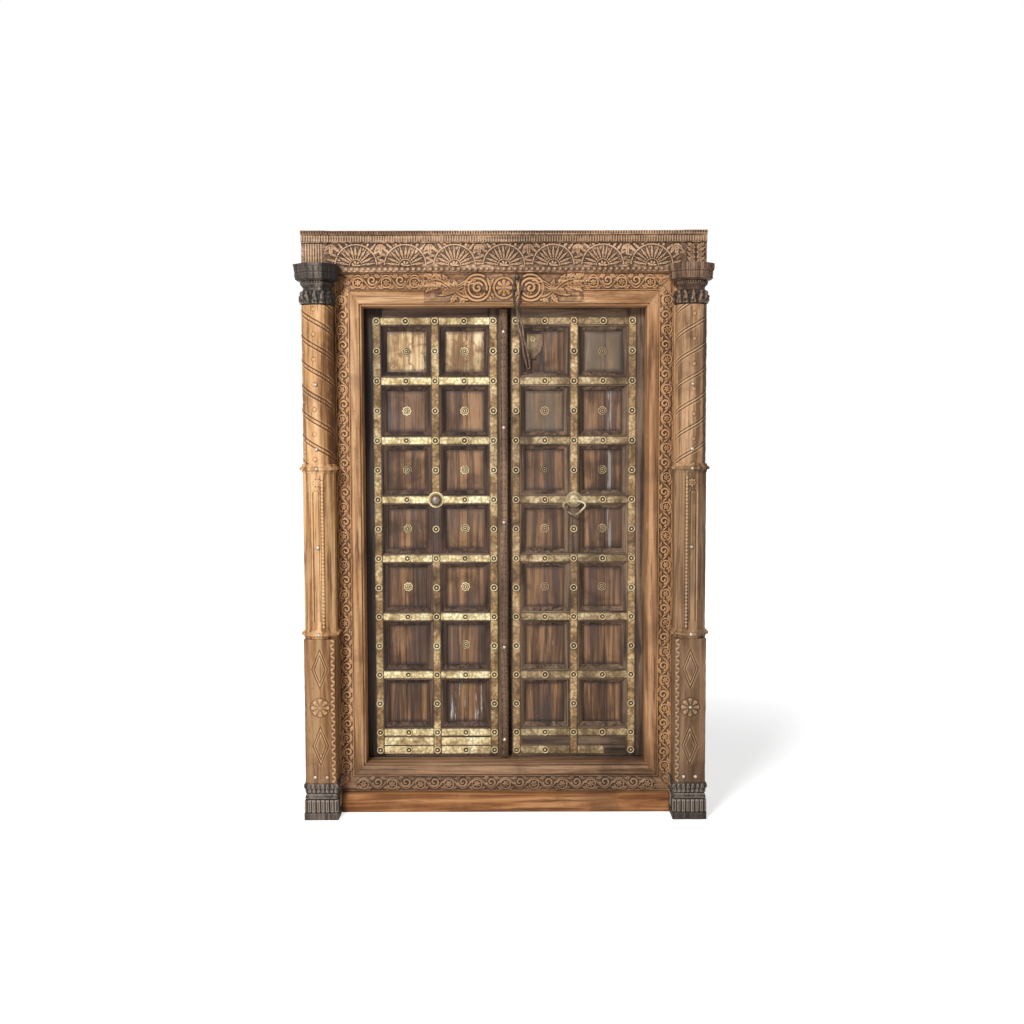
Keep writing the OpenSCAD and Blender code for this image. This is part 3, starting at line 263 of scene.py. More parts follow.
BAR = [(66, 48, 36), (102, 78, 60), (136, 108, 84)]
bar_wood = old_wood("bar_wood", "z", BAR, (30, 21, 16), (150, 122, 96), 0.5)
LEAF = {"left": [(46, 33, 27), (75, 56, 46), (110, 86, 71)],
    "right": [(60, 46, 36), (96, 76, 60), (134, 109, 88)]}
leaf_wood = {(side, axis): old_wood(side + "_leaf_wood_" + axis, axis, LEAF[side], (26, 18, 15),
    (134, 110, 94), 0.5) for side in LEAF for axis in "xz"}
# A darker copy of the leaf wood, painted shadow for the stile deep in the left reveal.
SHADED_STILE = [(28, 20, 16), (44, 32, 26), (70, 54, 45)]
shaded_stile_wood = old_wood("sooty_leaf_wood", "z", SHADED_STILE, (16, 10, 8), (74, 56, 46), 0.5)
STEP = [(120, 74, 40), (160, 106, 62), (190, 138, 90)]
step_wood = old_wood("threshold_wood", "x", STEP, (70, 42, 22), (196, 148, 100), 0.5)
print("wood finishes:", len(bpy.data.materials))

# %% [markdown]
# The planks behind the grid were painted more than once. Most of it is gone: the top panels of
# the left leaf keep their yellow, and a few streaks are left on both. Such marks are boxes in
# the finish, broken up by the grain, and they stay on the front.


# %% Back planks
def inside(tree, value, low, high, soft):
    """1 where a value lies between two limits, with soft edges."""
    return math_node(tree, "MULTIPLY", fit(tree, value, low - soft, low), fit(tree, value, high + soft, high))


def plank_finish(name, gilt_from, paint):
    """Brown planks with painted shade at the panel edges; faced in yellow above gilt_from. Each paint
    is a box x0, x1, z0, z1, how thin it is, how strong, and its colour."""
    made, tree, shader, place = new_material(name)
    along = add(tree, "ShaderNodeMapping", {"Vector": place, "Scale": (34, 34, 1.8)}).outputs[0]
    grain = noise(tree, along, 1.0, 7, 0.65, 0.9)
    fibre = noise(tree, along, 4.5, 5, 0.7)
    cloud = noise(tree, place, 7.0, 4, 0.6, 0.5)
    panel = noise(tree, place, 3.1, 1, 0.5)
    colour = ramp(tree, grain, [(0.38, (42, 25, 15)), (0.5, (90, 61, 37)), (0.62, (150, 111, 75))])
    colour = mix(tree, fit(tree, panel, 0.4, 0.62, 0, 0.4), colour, (86, 64, 56))
    colour = mix(tree, fit(tree, cloud, 0.5, 0.68, 0, 0.65), colour, (50, 33, 24))
    colour = mix(tree, fit(tree, fibre, 0.55, 0.7, 0, 0.6), colour, (44, 29, 22))
    axes = add(tree, "ShaderNodeSeparateXYZ", {"Vector": place}).outputs
    front = fit(tree, axes["Y"], Y_PLANK * MM + 0.004, Y_PLANK * MM + 0.002)
    for (x0, x1, z0, z1), thin, strength, hue in paint:
        wide, tall = inside(tree, axes["X"], x0, x1, 0.004), inside(tree, axes["Z"], z0, z1, 0.02)
        box = math_node(tree, "MULTIPLY", math_node(tree, "MULTIPLY", wide, tall), front)
        flake = math_node(tree, "MULTIPLY", box, fit(tree, fibre, thin, thin + 0.1, 0, strength))
        colour = mix(tree, flake, colour, hue)
    if gilt_from:
        above = math_node(tree, "MULTIPLY", front, fit(tree, axes["Z"], gilt_from, gilt_from + 0.004))
        gilt = ramp(tree, grain, [(0.38, (112, 80, 46)), (0.5, (184, 149, 102)), (0.62, (236, 210, 168))])
        blot = noise(tree, place, 26.0, 4, 0.65, 0.8)
        gilt = mix(tree, fit(tree, cloud, 0.5, 0.66, 0, 0.75), gilt, (112, 84, 60))
        gilt = mix(tree, fit(tree, blot, 0.46, 0.6, 0, 0.85), gilt, (128, 94, 62))
        gilt = mix(tree, fit(tree, fibre, 0.55, 0.7, 0, 0.6), gilt, (98, 70, 46))
        colour = mix(tree, above, colour, gilt)
    # Painted shade at the panel edges, next to the mouldings.
    edge = math_node(tree, "MINIMUM", from_line(tree, axes["X"], columns), from_line(tree, axes["Z"], rows))
    edge_shade = math_node(tree, "MULTIPLY", front, fit(tree, edge, 0.05, 0.036, 0, 0.7))
    colour = mix(tree, edge_shade, colour, (36, 23, 16))
    tree.links.new(colour, shader.inputs["Base Color"])
    tree.links.new(fit(tree, cloud, 0.3, 0.7, 0.55, 0.8), shader.inputs["Roughness"])
    relief = add(tree, "ShaderNodeBump", {"Strength": 0.45, "Distance": 0.0012, "Height": fibre})
    tree.links.new(relief.outputs[0], shader.inputs["Normal"])
    return made


PALE, GREY, OLIVE = (190, 184, 180), (138, 131, 124), (120, 106, 86)
top_row = rows[1] + 20
left_planks = plank_finish("plank_wood_left", top_row * MM, [((-0.205, -0.085, 0.31, 0.44), 0.56, 1, PALE)])
right_planks = plank_finish("plank_wood_right", 0, [((0.275, 0.447, 1.588, 1.765), 0.2, 0.5, OLIVE),
    ((0.06, 0.235, 1.37, 1.548), 0.2, 0.4, OLIVE), ((0.381, 0.391, 0.93, 1.56), 0.44, 1, GREY),
    ((0.174, 0.178, 0.6, 0.66), 0.46, 1, PALE)])


# %% [markdown]
# The straps are old sheet brass: bright where the sheet is rubbed, brown where the patina holds,
# speckled, and darkened along the edges with painted shade. The left leaf has kept more of its
# yellow than the right one, and cross straps more than uprights, so one recipe is used with other
# tones for each.


# %% Metals
def old_metal(name, bright, middle, dark, patina, rough=(0.42, 0.7), metallic=0.4, punched=0.0, lines=None):
    """Aged metal; punched adds small punched marks, as on embossed sheet, and lines, an axis and
    the middles of the straps along it, adds painted shade along their edges."""
    made, tree, shader, place = new_material(name)
    cloud = noise(tree, place, 11.0, 5, 0.62, 0.6)
    broad = noise(tree, place, 2.6, 2, 0.5)
    speck = noise(tree, place, 150.0, 4, 0.7)
    cavity = add(tree, "ShaderNodeAttribute", attribute_name="cavity").outputs["Fac"]
    colour = ramp(tree, cloud, [(0.34, bright), (0.5, middle), (0.7, dark)])
    colour = mix(tree, fit(tree, broad, 0.5, 0.64, 0, 0.35), colour, dark)
    colour = mix(tree, fit(tree, speck, 0.52, 0.66, 0, patina), colour, dark)
    height = math_node(tree, "ADD", cloud, math_node(tree, "MULTIPLY", speck, 0.35))
    if punched:
        cells = add(tree, "ShaderNodeTexVoronoi", {"Vector": place, "Scale": 82.0, "Randomness": 0.8})
        marks = cells.outputs["Distance"]
        colour = mix(tree, fit(tree, marks, 0.42, 0.62, 0, 0.55 * punched), colour, dark)
        height = math_node(tree, "SUBTRACT", height, math_node(tree, "MULTIPLY", marks, punched))
    if lines:
        across = add(tree, "ShaderNodeSeparateXYZ", {"Vector": place}).outputs[lines[0]]
        uneven = math_node(tree, "MULTIPLY", cloud, 0.004)
        edge = math_node(tree, "ADD", from_line(tree, across, lines[1]), uneven)
        half = STRAP_HALF * MM
        # Painted shade along both edges of each strap.
        colour = mix(tree, fit(tree, edge, half - 0.003, half, 0, 0.8), colour, (58, 42, 27))
    # Hollows darken with patina and painted shade; raised parts brighten with a painted highlight.
    colour = mix(tree, fit(tree, cavity, -0.02, -0.5, 0, 0.94), colour, dark)
    colour = mix(tree, fit(tree, cavity, 0.05, 0.6, 0, 0.8), colour, bright)
    tree.links.new(colour, shader.inputs["Base Color"])
    tree.links.new(fit(tree, cloud, 0.35, 0.65, rough[0], rough[1]), shader.inputs["Roughness"])
    shader.inputs["Metallic"].default_value = metallic
    relief = add(tree, "ShaderNodeBump", {"Strength": 0.5, "Distance": 0.0015, "Height": height})
    tree.links.new(relief.outputs[0], shader.inputs["Normal"])
    return made


STRAP = {
    ("left", "cross"): ((255, 246, 202), (236, 214, 160), (112, 84, 48), 0.4),
    ("left", "upright"): ((218, 192, 138), (164, 130, 84), (70, 49, 29), 0.65),
    ("right", "cross"): ((218, 196, 152), (164, 138, 98), (74, 55, 36), 0.6),
    ("right", "upright"): ((214, 182, 132), (164, 130, 86), (72, 52, 33), 0.6)}
STRAP_LINES = {"cross": ("Z", rows), "upright": ("X", columns)}
SHEET = {"rough": (0.55, 0.8), "metallic": 0.1, "punched": 0.9}
strap_brass = {(side, kind): old_metal(side + "_" + kind + "_brass", *tones, **SHEET, lines=STRAP_LINES[kind])
    for (side, kind), tones in STRAP.items()}
kick_brass = {side: old_metal(side + "_kick_brass", *STRAP[side, "cross"], **SHEET) for side in LEAF}
boss_left = old_metal("boss_brass_left", (240, 222, 176), (196, 166, 112), (42, 29, 18), 0.3, metallic=0.2)
boss_right = old_metal("boss_brass_right", (228, 206, 162), (178, 148, 102), (40, 28, 18), 0.35, metallic=0.2)
iron = old_metal("forged_iron", (130, 116, 102), (82, 70, 60), (40, 31, 26), 0.5, metallic=0.5)
link_iron = old_metal("link_iron", (172, 146, 124), (126, 102, 86), (58, 42, 33), 0.45, metallic=0.35)
bronze = old_metal("bracket_bronze", (134, 112, 83), (104, 84, 61), (52, 38, 26), 0.6)
ring_brass = old_metal("ring_brass", (242, 232, 204), (198, 181, 140), (66, 51, 32), 0.3, (0.36, 0.6), 0.35)
flower_right = old_metal("flower_brass_right", (200, 170, 130), (142, 112, 80), (36, 25, 17), 0.4,
    metallic=0.1)
nail_metal = old_metal("nail_heads", (206, 192, 174), (158, 142, 124), (80, 66, 54), 0.3, (0.3, 0.55), 0.5)

# %% [markdown]
# Relief carving is a height over a flat ground. A small class keeps such a height map and offers
# the carver's few strokes: a ridge along a line, a groove, a veined leaf and a flower, and dirt.
# Numpy works them out for a whole patch at once, which is far quicker than sculpting with
# modifiers, and the same strokes serve every carved piece.


# %% The carver's strokes
class Carving:
    """A height map in millimetres: u runs along the piece and v across it."""

    def __init__(self, u0, u1, v0, v1, step):
        self.u = np.linspace(u0, u1, int(round((u1 - u0) / step)) + 1)
        self.v = np.linspace(v0, v1, int(round((v1 - v0) / step)) + 1)
        self.h = np.zeros((len(self.u), len(self.v)))
        # Dirt, and painted shade on the sides turned from the light, are held in one map.
        self.dirt_and_shade = np.zeros_like(self.h)

    def patch(self, low, high):
        """The window of the map between two corners, with its u and v."""
        i0, i1 = np.searchsorted(self.u, [low[0], high[0]])
        j0, j1 = np.searchsorted(self.v, [low[1], high[1]])
        window = (slice(i0, i1), slice(j0, j1))
        return window, self.u[window[0], None], self.v[None, window[1]]

    def near(self, points, width):
        """Distance to a row of points, in half widths, over the patch round it."""
        points = np.asarray(points, float)
        width = np.broadcast_to(np.asarray(width, float), len(points))
        reach = width.max()
        window, u, v = self.patch(points.min(0) - reach, points.max(0) + reach)
        best = np.full((u.shape[0], v.shape[1]), 9.0)
        for a, b, wa, wb in zip(points[:-1], points[1:], width[:-1], width[1:]):
            d = b - a
            t = np.clip(((u - a[0]) * d[0] + (v - a[1]) * d[1]) / max(d @ d, 1e-9), 0, 1)
            away = np.hypot(u - a[0] - t * d[0], v - a[1] - t * d[1])
            best = np.minimum(best, away / (0.5 * (wa + (wb - wa) * t)))
        return window, best

    def ridge(self, points, width, height, groove=0.0):
        """A rounded ridge along a line, with a groove down its middle if one is given."""
        window, best = self.near(points, width)
        rise = height * np.clip(1 - best**2, 0, 1) ** 0.5
        rise = rise - np.where(best < 1, groove * np.exp(-((best / 0.25) ** 2)), 0)
        self.h[window] = np.where(rise > 0, np.maximum(self.h[window], rise), self.h[window])

    def groove(self, points, width, depth):
        """A V-shaped cut along a line."""
        window, best = self.near(points, width)
        self.h[window] -= depth * np.clip(1 - best, 0, 1)

    def soil(self, points, width, amount):
        """Dirt along a line, which darkens the wood without cutting it."""
        window, best = self.near(points, width)
        self.dirt_and_shade[window] = np.maximum(self.dirt_and_shade[window], amount * (best < 1))

    def leaf(self, root, length, width, angle, height, lobes=3):
        """A veined leaf with a lobed edge, from its root along an angle in degrees."""
        c, s = math.cos(math.radians(angle)), math.sin(math.radians(angle))
        root = np.asarray(root, float)
        window, u, v = self.patch(root - length - width, root + length + width)
        x = ((u - root[0]) * c + (v - root[1]) * s) / length
        y = np.abs((v - root[1]) * c - (u - root[0]) * s) / (0.5 * width)
        t = np.clip(x, 1e-4, 1 - 1e-4)
        edge = np.sin(np.pi * t**0.7) ** 0.8 * (0.86 + 0.14 * np.cos(2 * np.pi * lobes * t))
        inside = np.clip(1 - (y / np.maximum(edge, 1e-3)) ** 2, 0, 1) * ((x > 0) & (x < 1))
        vein = 0.4 * np.exp(-((y / 0.14) ** 2)) + 0.12 * (1 + np.cos(2 * np.pi * (2 * lobes * t - 1.1 * y)))
        rise = height * (inside**0.5) * (1 - vein * (inside > 0))
        self.h[window] = np.where(rise > 0, np.maximum(self.h[window], rise), self.h[window])

    def flower(self, centre, radius, petals, height, turn=0.0):
        """A round flower of petals about an eye."""
        centre = np.asarray(centre, float)
        window, u, v = self.patch(centre - radius, centre + radius)
        r = np.hypot(u - centre[0], v - centre[1]) / radius
        a = np.arctan2(v - centre[1], u - centre[0]) + math.radians(turn)
        lobe = np.abs(np.cos(a * petals / 2))
        edge = 0.58 + 0.42 * lobe**0.6
        petal = np.clip(1 - ((r - 0.5 * edge) / (0.55 * edge)) ** 2, 0, 1) ** 0.5 * (0.35 + 0.65 * lobe**0.5)
        eye = np.clip(1 - (r / 0.26) ** 2, 0, 1) ** 0.5
        rise = height * np.maximum(np.where(r < edge, 0.85 * petal, 0), eye)
        self.h[window] = np.where(rise > 0, np.maximum(self.h[window], rise), self.h[window])

    def sample(self, values, u, v):
        """Values of the map at any points, between the cells."""
        x = np.clip((u - self.u[0]) / (self.u[1] - self.u[0]), 0, len(self.u) - 1.001)
        y = np.clip((v - self.v[0]) / (self.v[1] - self.v[0]), 0, len(self.v) - 1.001)
        i, j = x.astype(int), y.astype(int)
        fx, fy = x - i, y - j
        low = values[i, j] * (1 - fx) + values[i + 1, j] * fx
        high = values[i, j + 1] * (1 - fx) + values[i + 1, j + 1] * fx
        return low * (1 - fy) + high * fy

    def cavity(self, cells=3, depth=2.4, ground=0.0):
        """How far each place lies above or below its surroundings, -1 to 1, less the dirt and painted shade;
        ground darkens the flat.
        """
        flat = ground * np.exp(-np.maximum(self.h, 0) / 0.6)
        return np.clip((self.h - blurred(self.h, cells)) / depth, -1, 1) - flat - self.dirt_and_shade

    def wear(self, amount):
        """Uneven hand work: a smooth random height over the whole map."""
        coarse = rng.normal(size=self.h.shape)
        self.h += amount * blurred(blurred(coarse, 3), 3) * 7


def blurred(h, cells):
    """Mean of the cells round each cell."""
    for axis in (0, 1):
        pad = [(0, 0), (0, 0)]
        pad[axis] = (cells + 1, cells)
        total = np.cumsum(np.pad(h, pad, mode="edge"), axis=axis)
        size, count = 2 * cells + 1, h.shape[axis]
        h = (np.take(total, range(size, size + count), axis) - np.take(total, range(count), axis)) / size
    return h


def spiral(centre, r0, r1, start, turn, count):
    """Points of a flat spiral, angles in degrees."""
    t = np.linspace(0, 1, count)
    a = np.radians(start + turn * t)
    r = r0 + (r1 - r0) * t
    return np.c_[centre[0] + r * np.cos(a), centre[1] + r * np.sin(a)]


# %% [markdown]
# A carved board becomes a closed mesh: a grid of front points, a skirt down to the back and a
# flat back. The cavity map goes on the mesh as an attribute that the wood finish reads.


# %% From height map to mesh
def quads(index):
    """Faces of a grid of vertex numbers."""
    corners = [index[:-1, :-1], index[1:, :-1], index[1:, 1:], index[:-1, 1:]]
    return np.stack(corners, -1).reshape(-1, 4).tolist()


def strip(a, b):
    """Faces between two rows of vertex numbers."""
    return np.stack([a[:-1], b[:-1], b[1:], a[1:]], -1).tolist()


def slab(front, back_y):
    """A closed board from a grid of front points and a flat back."""
    n, m = front.shape[:2]
    index = np.arange(n * m).reshape(n, m)
    low_edge, high_edge = front[:, 0].copy(), front[:, -1].copy()
    low_edge[:, 1] = high_edge[:, 1] = back_y
    low = n * m + np.arange(n)
    high = low + n
    faces = quads(index) + strip(index[:, 0], low) + strip(low, high) + strip(high, index[:, -1])
    faces += [[*index[0], high[0], low[0]], [*index[-1], high[-1], low[-1]]]
    return np.vstack([front.reshape(-1, 3), low_edge, high_edge]), faces


def column(grid):
    """A closed column from rows of points round an open outline whose two ends lie on the back."""
    n, m = grid.shape[:2]
    index = np.arange(n * m).reshape(n, m)
    faces = quads(index) + strip(index[:, -1], index[:, 0]) + [list(index[0]), list(index[-1])]
    return grid.reshape(-1, 3), faces


def shaded(mesh, values):
    """Writes the cavity attribute that the finishes read."""
    layer = mesh.attributes.new("cavity", "FLOAT", "POINT")
    layer.data.foreach_set("value", np.asarray(values, np.float32))


def put(name, parts, finish, body, replaced=(), sharp=50):
    """One mesh object from (vertices, faces, cavity) parts in millimetres, riding on a body."""
    vertices, faces, cavity, count = [], [], [], 0
    for points, sides, shade in parts:
        vertices.append(np.asarray(points) * MM)
        faces += [[v + count for v in side] for side in sides] if count else sides
        tone = np.zeros(len(points))
        tone[: len(shade)] = shade
        cavity.append(tone)
        count += len(points)
    mesh = bpy.data.meshes.new(name)
    mesh.from_pydata(np.vstack(vertices).tolist(), [], faces)
    shaded(mesh, np.hstack(cavity))
    return dress(mesh, name, finish, body, replaced, sharp)


def dress(mesh, name, finish, body, replaced=(), sharp=50):
    """Turns faces outwards, shades them, and makes the mesh a piece of the door."""
    work = bmesh.new()
    work.from_mesh(mesh)
    bmesh.ops.recalc_face_normals(work, faces=work.faces)
    work.to_mesh(mesh)
    work.free()
    mesh.shade_smooth()
    mesh.set_sharp_from_angle(angle=math.radians(sharp))
    mesh.materials.clear()
    mesh.materials.append(finish)
    piece = bpy.data.objects.new(name, mesh)
    bpy.context.scene.collection.objects.link(piece)
    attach(piece, body)
    if replaced:
        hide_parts(*replaced)
    return piece


# %% [markdown]
# The vine of the facing boards winds past rosettes and curled leaves by turns, which nearly
# fill the width of the board.

# %% Vine boards
MOTIF_PITCH = 52.0
VINE_END = 8.0
STEP_MM = 1.6


def vine(carving, a, b, height):
    """A scrolling vine from u = a to u = b about v = 0, in a band of that height."""
    count = max(3, round((b - a) / MOTIF_PITCH))
    pitch = (b - a) / count
    curl = min(height * 0.33, pitch * 0.35)
    x = np.linspace(a, b, count * 10 + 1)
    carving.ridge(np.c_[x, height * 0.35 * np.sin(np.pi * (x - a) / pitch)], 6, 4.5, 1.2)
    for k in range(count):
        up = 1 if k % 2 == 0 else -1
        c = np.array([a + (k + 0.5) * pitch, -up * height * 0.07])
        for e in (-1, 1):
            root = c + (e * curl * 0.5, -up * curl * 1.05)
            carving.leaf(root, pitch * 0.46, height * 0.3, 90 - e * 90 + e * up * 22, 5, 2)
        if up > 0:
            carving.ridge(spiral(c, curl, curl * 0.9, 165, -330, 30), 6.5, 6.5, 1.4)
            carving.flower(c, curl * 0.72, 6, 7, rng.uniform(0, 60))
        else:
            carving.ridge(spiral(c, curl, curl * 0.3, -165, 430, 36), np.linspace(9.5, 7, 36), 6.5, 1.6)
    for edge in (-1, 1):
        line = edge * (height / 2 - 1.4)
        carving.ridge([[a - 60, line], [b + 60, line]], 4.2, 4.2)


def carve_board(carving, place, ground=0.14):
    """Front points of a board from a map of its outline: place(s, t) gives u, v, x and z."""
    carving.wear(0.35)
    s, t = np.meshgrid(np.linspace(0, 1, len(carving.u)), np.linspace(0, 1, len(carving.v)), indexing="ij")
    u, v, x, z = place(s, t)
    rise = carving.sample(carving.h, u, v)
    shade = carving.sample(carving.cavity(ground=ground), u, v)
    return np.stack([x, Y_FACE - rise, z], -1), shade.ravel()


BOARD_T = 12.0
Y_BOARD = Y_FACE + BOARD_T
vine_w = X_SEAT - X_VINE
for side, name in ((-1, "left"), (1, "right")):
    carving = Carving(Z_SILL_VINE, Z_LINTEL, -vine_w / 2, vine_w / 2, STEP_MM)
    vine(carving, Z_SILL_ARCH + VINE_END, Z_ARCH - VINE_END, vine_w)
    for end, lean in ((Z_SILL_ARCH - 6, 235), (Z_ARCH + 6, 125)):
        carving.leaf((end, 4), 56, 34, lean, 5)

    def upright(s, t, side=side):
        low = Z_SILL_ARCH + (Z_SILL_VINE - Z_SILL_ARCH) * t
        high = Z_ARCH + (Z_LINTEL - Z_ARCH) * t
        z = low + (high - low) * s
        return z, vine_w / 2 - vine_w * t, side * (X_VINE + vine_w * t), z

    front, shade = carve_board(carving, upright)
    # The left board takes the painted-light copy of the carved wood.
    finish = lit_left_vine if side < 0 else carved_z
    put(name + "_vine", [(*slab(front, Y_BOARD), shade)], finish, "frame",
        [name + "_vine_board"])

head_h = Z_LINTEL - Z_ARCH
parts = []
for side in (-1, 1):
    carving = Carving(CREST, X_SEAT, -head_h / 2, head_h / 2, STEP_MM)
    vine(carving, CREST + VINE_END, X_VINE - VINE_END, head_h)
    carving.leaf((X_VINE - 4, -10), 52, 34, 35, 5)

    def level(s, t, side=side):
        x = CREST + (X_VINE + vine_w * t - CREST) * s
        return x, head_h * (t - 0.5), side * x, Z_ARCH + head_h * t

    front, shade = carve_board(carving, level)
    parts.append((*slab(front, Y_BOARD), shade))
put("head_vine", parts, carved_x, "frame", ["top_vine_boards"])

sill_h = Z_SILL_ARCH - Z_SILL_VINE
carving = Carving(-X_SEAT, X_SEAT, -sill_h / 2, sill_h / 2, STEP_MM)
vine(carving, VINE_END - X_VINE, X_VINE - VINE_END, sill_h)


def foot_board(s, t):
    half = X_SEAT - vine_w * t
    x = -half + 2 * half * s
    return x, sill_h * (t - 0.5), x, Z_SILL_VINE + sill_h * t


front, shade = carve_board(carving, foot_board)
put("sill_vine", [(*slab(front, Y_BOARD), shade)], sill_carved, "frame", ["bottom_vine_board"])
print("vine boards carved")

# %% [markdown]
# The crest in the middle of the header is the door's best carving: a medallion between two
# scrolls of several lines, with stems and leaf clusters running out to both ends.

# %% Crest
crest_h = crest_high[2] - crest_low[2]
carving = Carving(-CREST, CREST, -crest_h / 2, crest_h / 2, 1.5)
SCROLL_R = 41.0
r = SCROLL_R
for side in (-1, 1):
    def turned(points):
        return np.asarray(points) * (side, 1)

    c = (2.3 * r, 0)
    carving.ridge(turned(spiral(c, r + 6, r + 3, 120, -330, 60)), 10, 7.5)
    carving.ridge(turned(spiral(c, r - 7.5, r - 9, 190, -330, 60)), 10, 7.5)
    carving.ridge(turned(spiral(c, r - 22, 5, 150, -400, 60)), 11, 8)
    t = np.linspace(0, 1, 24)
    stem = np.c_[r * (3.2 + 3 * t), -r * 0.75 * np.cos(np.radians(200 * t))]
    for off, share in ((-11, 0.7), (0, 1), (11, 0.7)):
        carving.ridge(turned(stem + (0, off)), np.linspace(11, 7, 24) * share, 6 * share, 1.4)
    sweep = np.c_[r * (2.5 + 3.3 * t), r * 0.62 * np.cos(np.radians(190 * t))]
    for off in (-9, 0, 9):
        drawn = np.c_[np.zeros(24), off * (1 - t**2)]
        carving.ridge(turned(sweep + drawn), np.linspace(8, 2.5, 24), 5.6)
    for lean in (70, 115):
        for e in (1, -1):
            root = turned([(r * 1.2, e * r * 0.2)])[0]
            carving.leaf(root, r * 0.75, r * 0.34, e * lean if side > 0 else 180 - e * lean, 5.4, 2)
    for k in np.arange(0.05, 0.95, 0.22):
        root = (r * (3.3 + 3 * k), -r * 0.75 * math.cos(math.radians(200 * k)) + 4)
        lean = 100 - 80 * k
        carving.leaf(turned([root])[0], r * 1.15, r * 0.68, lean if side > 0 else 180 - lean, 6.4)
        under = (root[0], root[1] - 9)
        carving.leaf(turned([under])[0], r * 0.95, r * 0.6, -60 + 30 * k if side > 0 else 240 - 30 * k, 6.0)
    for lean in (-40, -12, 16, 44):
        root = (CREST - r * 0.95, r * 0.35)
        carving.leaf(turned([root])[0], r * 1.1, r * 0.6, lean if side > 0 else 180 - lean, 6.4, 2)
    for k in range(5):
        root = (r * (1.1 + 0.28 * k), 4 * k - r)
        carving.leaf(turned([root])[0], r * 0.5, r * 0.22, 60 if side > 0 else 120, 3.6, 2)
ring = spiral((0, 0), r * 0.86, r * 0.86, 0, 360, 48)
carving.ridge(ring, 6, 6)
carving.ridge(ring * 1.12, 3, 4)
carving.flower((0, 0), r * 0.74, 8, 7)
for edge in (-1, 1):
    carving.ridge([[-CREST, edge * (crest_h / 2 - 1.5)], [CREST, edge * (crest_h / 2 - 1.5)]], 4, 3)
crest_mid = (crest_low[2] + crest_high[2]) / 2


def crest_place(s, t):
    x = -CREST + 2 * CREST * s
    return x, crest_h * (t - 0.5), x, crest_mid + crest_h * (t - 0.5)


front, shade = carve_board(carving, crest_place, 0.42)
put("crest", [(*slab(front, Y_BOARD), shade)], carved_x, "frame", ["header_crest"])

# %% [markdown]
# The lintel is one timber with bands that break forward over the pilasters. Its plan and bands
# set a base depth for every point of the front, and the lotus frieze is carved on top of that.

# %% Lintel
BEAD_H, FRIEZE_H, REED_H = 20.0, 80.0, 28.0
FRIEZE_PROUD, FILLET_PROUD, RETURN_W = 18.0, 16.0, 28.0
BLOCK_PROUD = Y_FACE - FRIEZE_PROUD - FILLET_PROUD - lintel_low[1]
FANS = 7
LINTEL_X = lintel_high[0]
BLOCK_IN = PILASTER_X - 17.0
MID = BLOCK_IN - RETURN_W
y_frieze = Y_FACE - FRIEZE_PROUD
z_bead = Z_LINTEL + BEAD_H
z_reed = z_bead + FRIEZE_H
z_fillet = z_reed + REED_H
carving = Carving(-LINTEL_X, LINTEL_X, Z_LINTEL, Z_TOP, STEP_MM)
pitch = 2 * MID / FANS
fan_r = min(pitch / 2, FRIEZE_H) - 6
for k in range(FANS):
    c = np.array([-MID + (k + 0.5) * pitch, z_bead + 2])
    for ring_r, width, rise in ((1.0, 0.08, 3.6), (0.3, 0.06, 5.0)):
        carving.ridge(spiral(c, fan_r * ring_r, fan_r * ring_r, 4, 172, 40), fan_r * width, rise)
    for lean in np.arange(9, 180, 16.2):
        along = np.array([math.cos(math.radians(lean)), math.sin(math.radians(lean))])
        carving.leaf(c + along * fan_r * 0.32, fan_r * 0.66, fan_r * 0.15, lean + rng.uniform(-5, 5), 6.4, 2)
    for lean in np.arange(6, 180, 13.5):
        along = np.array([math.cos(math.radians(lean)), math.sin(math.radians(lean))])
        carving.leaf(c + along * fan_r * 1.03, fan_r * 0.4, fan_r * 0.17, lean + rng.uniform(-14, 14), 5.4, 1)
    carving.flower(c, fan_r * 0.24, 7, 7)
for k in range(FANS + 1):
    x = -MID + k * pitch
    carving.leaf((x, z_reed - 2), FRIEZE_H * 0.55, FRIEZE_H * 0.26, 270, 6)
    for e in (-1, 1):
        carving.leaf((x + 2 * e, z_reed - 3), FRIEZE_H * 0.42, FRIEZE_H * 0.2, 270 + e * 38, 5, 2)
for x in np.arange(BLOCK_IN + 6, LINTEL_X - 14, 9.0):
    carving.ridge([[-x, z_bead + 5], [-x, z_reed - 5]], 7.5, 2.2)
for k in range(4):
    z = z_bead + 8 + k * 17
    for e in (-1, 1):
        x = (BLOCK_IN + LINTEL_X) / 2
        carving.leaf((x + e * 3, z), 36, 20, 90 - e * 52, 5)
carving.h[:, carving.v > z_reed - 1] = 0
carving.h[:, carving.v < z_bead] = 0
for x in np.arange(-LINTEL_X + 6, LINTEL_X - 5, 9.0):
    carving.groove([[x, z_fillet + 5], [x, Z_TOP - 4]], 5, 3)
carving.wear(0.7)


def lintel_base(x, z):
    """Depth of the lintel's front before carving: bands, brought forward over the pilasters."""
    break_out = np.clip((np.abs(x) - MID) / RETURN_W, 0, 1) * BLOCK_PROUD
    band = np.select([z < z_bead, z < z_reed, z < z_fillet], [0.0, 0.0, 8.0], FILLET_PROUD)
    return y_frieze - np.where(z < z_bead, 0, break_out) - band


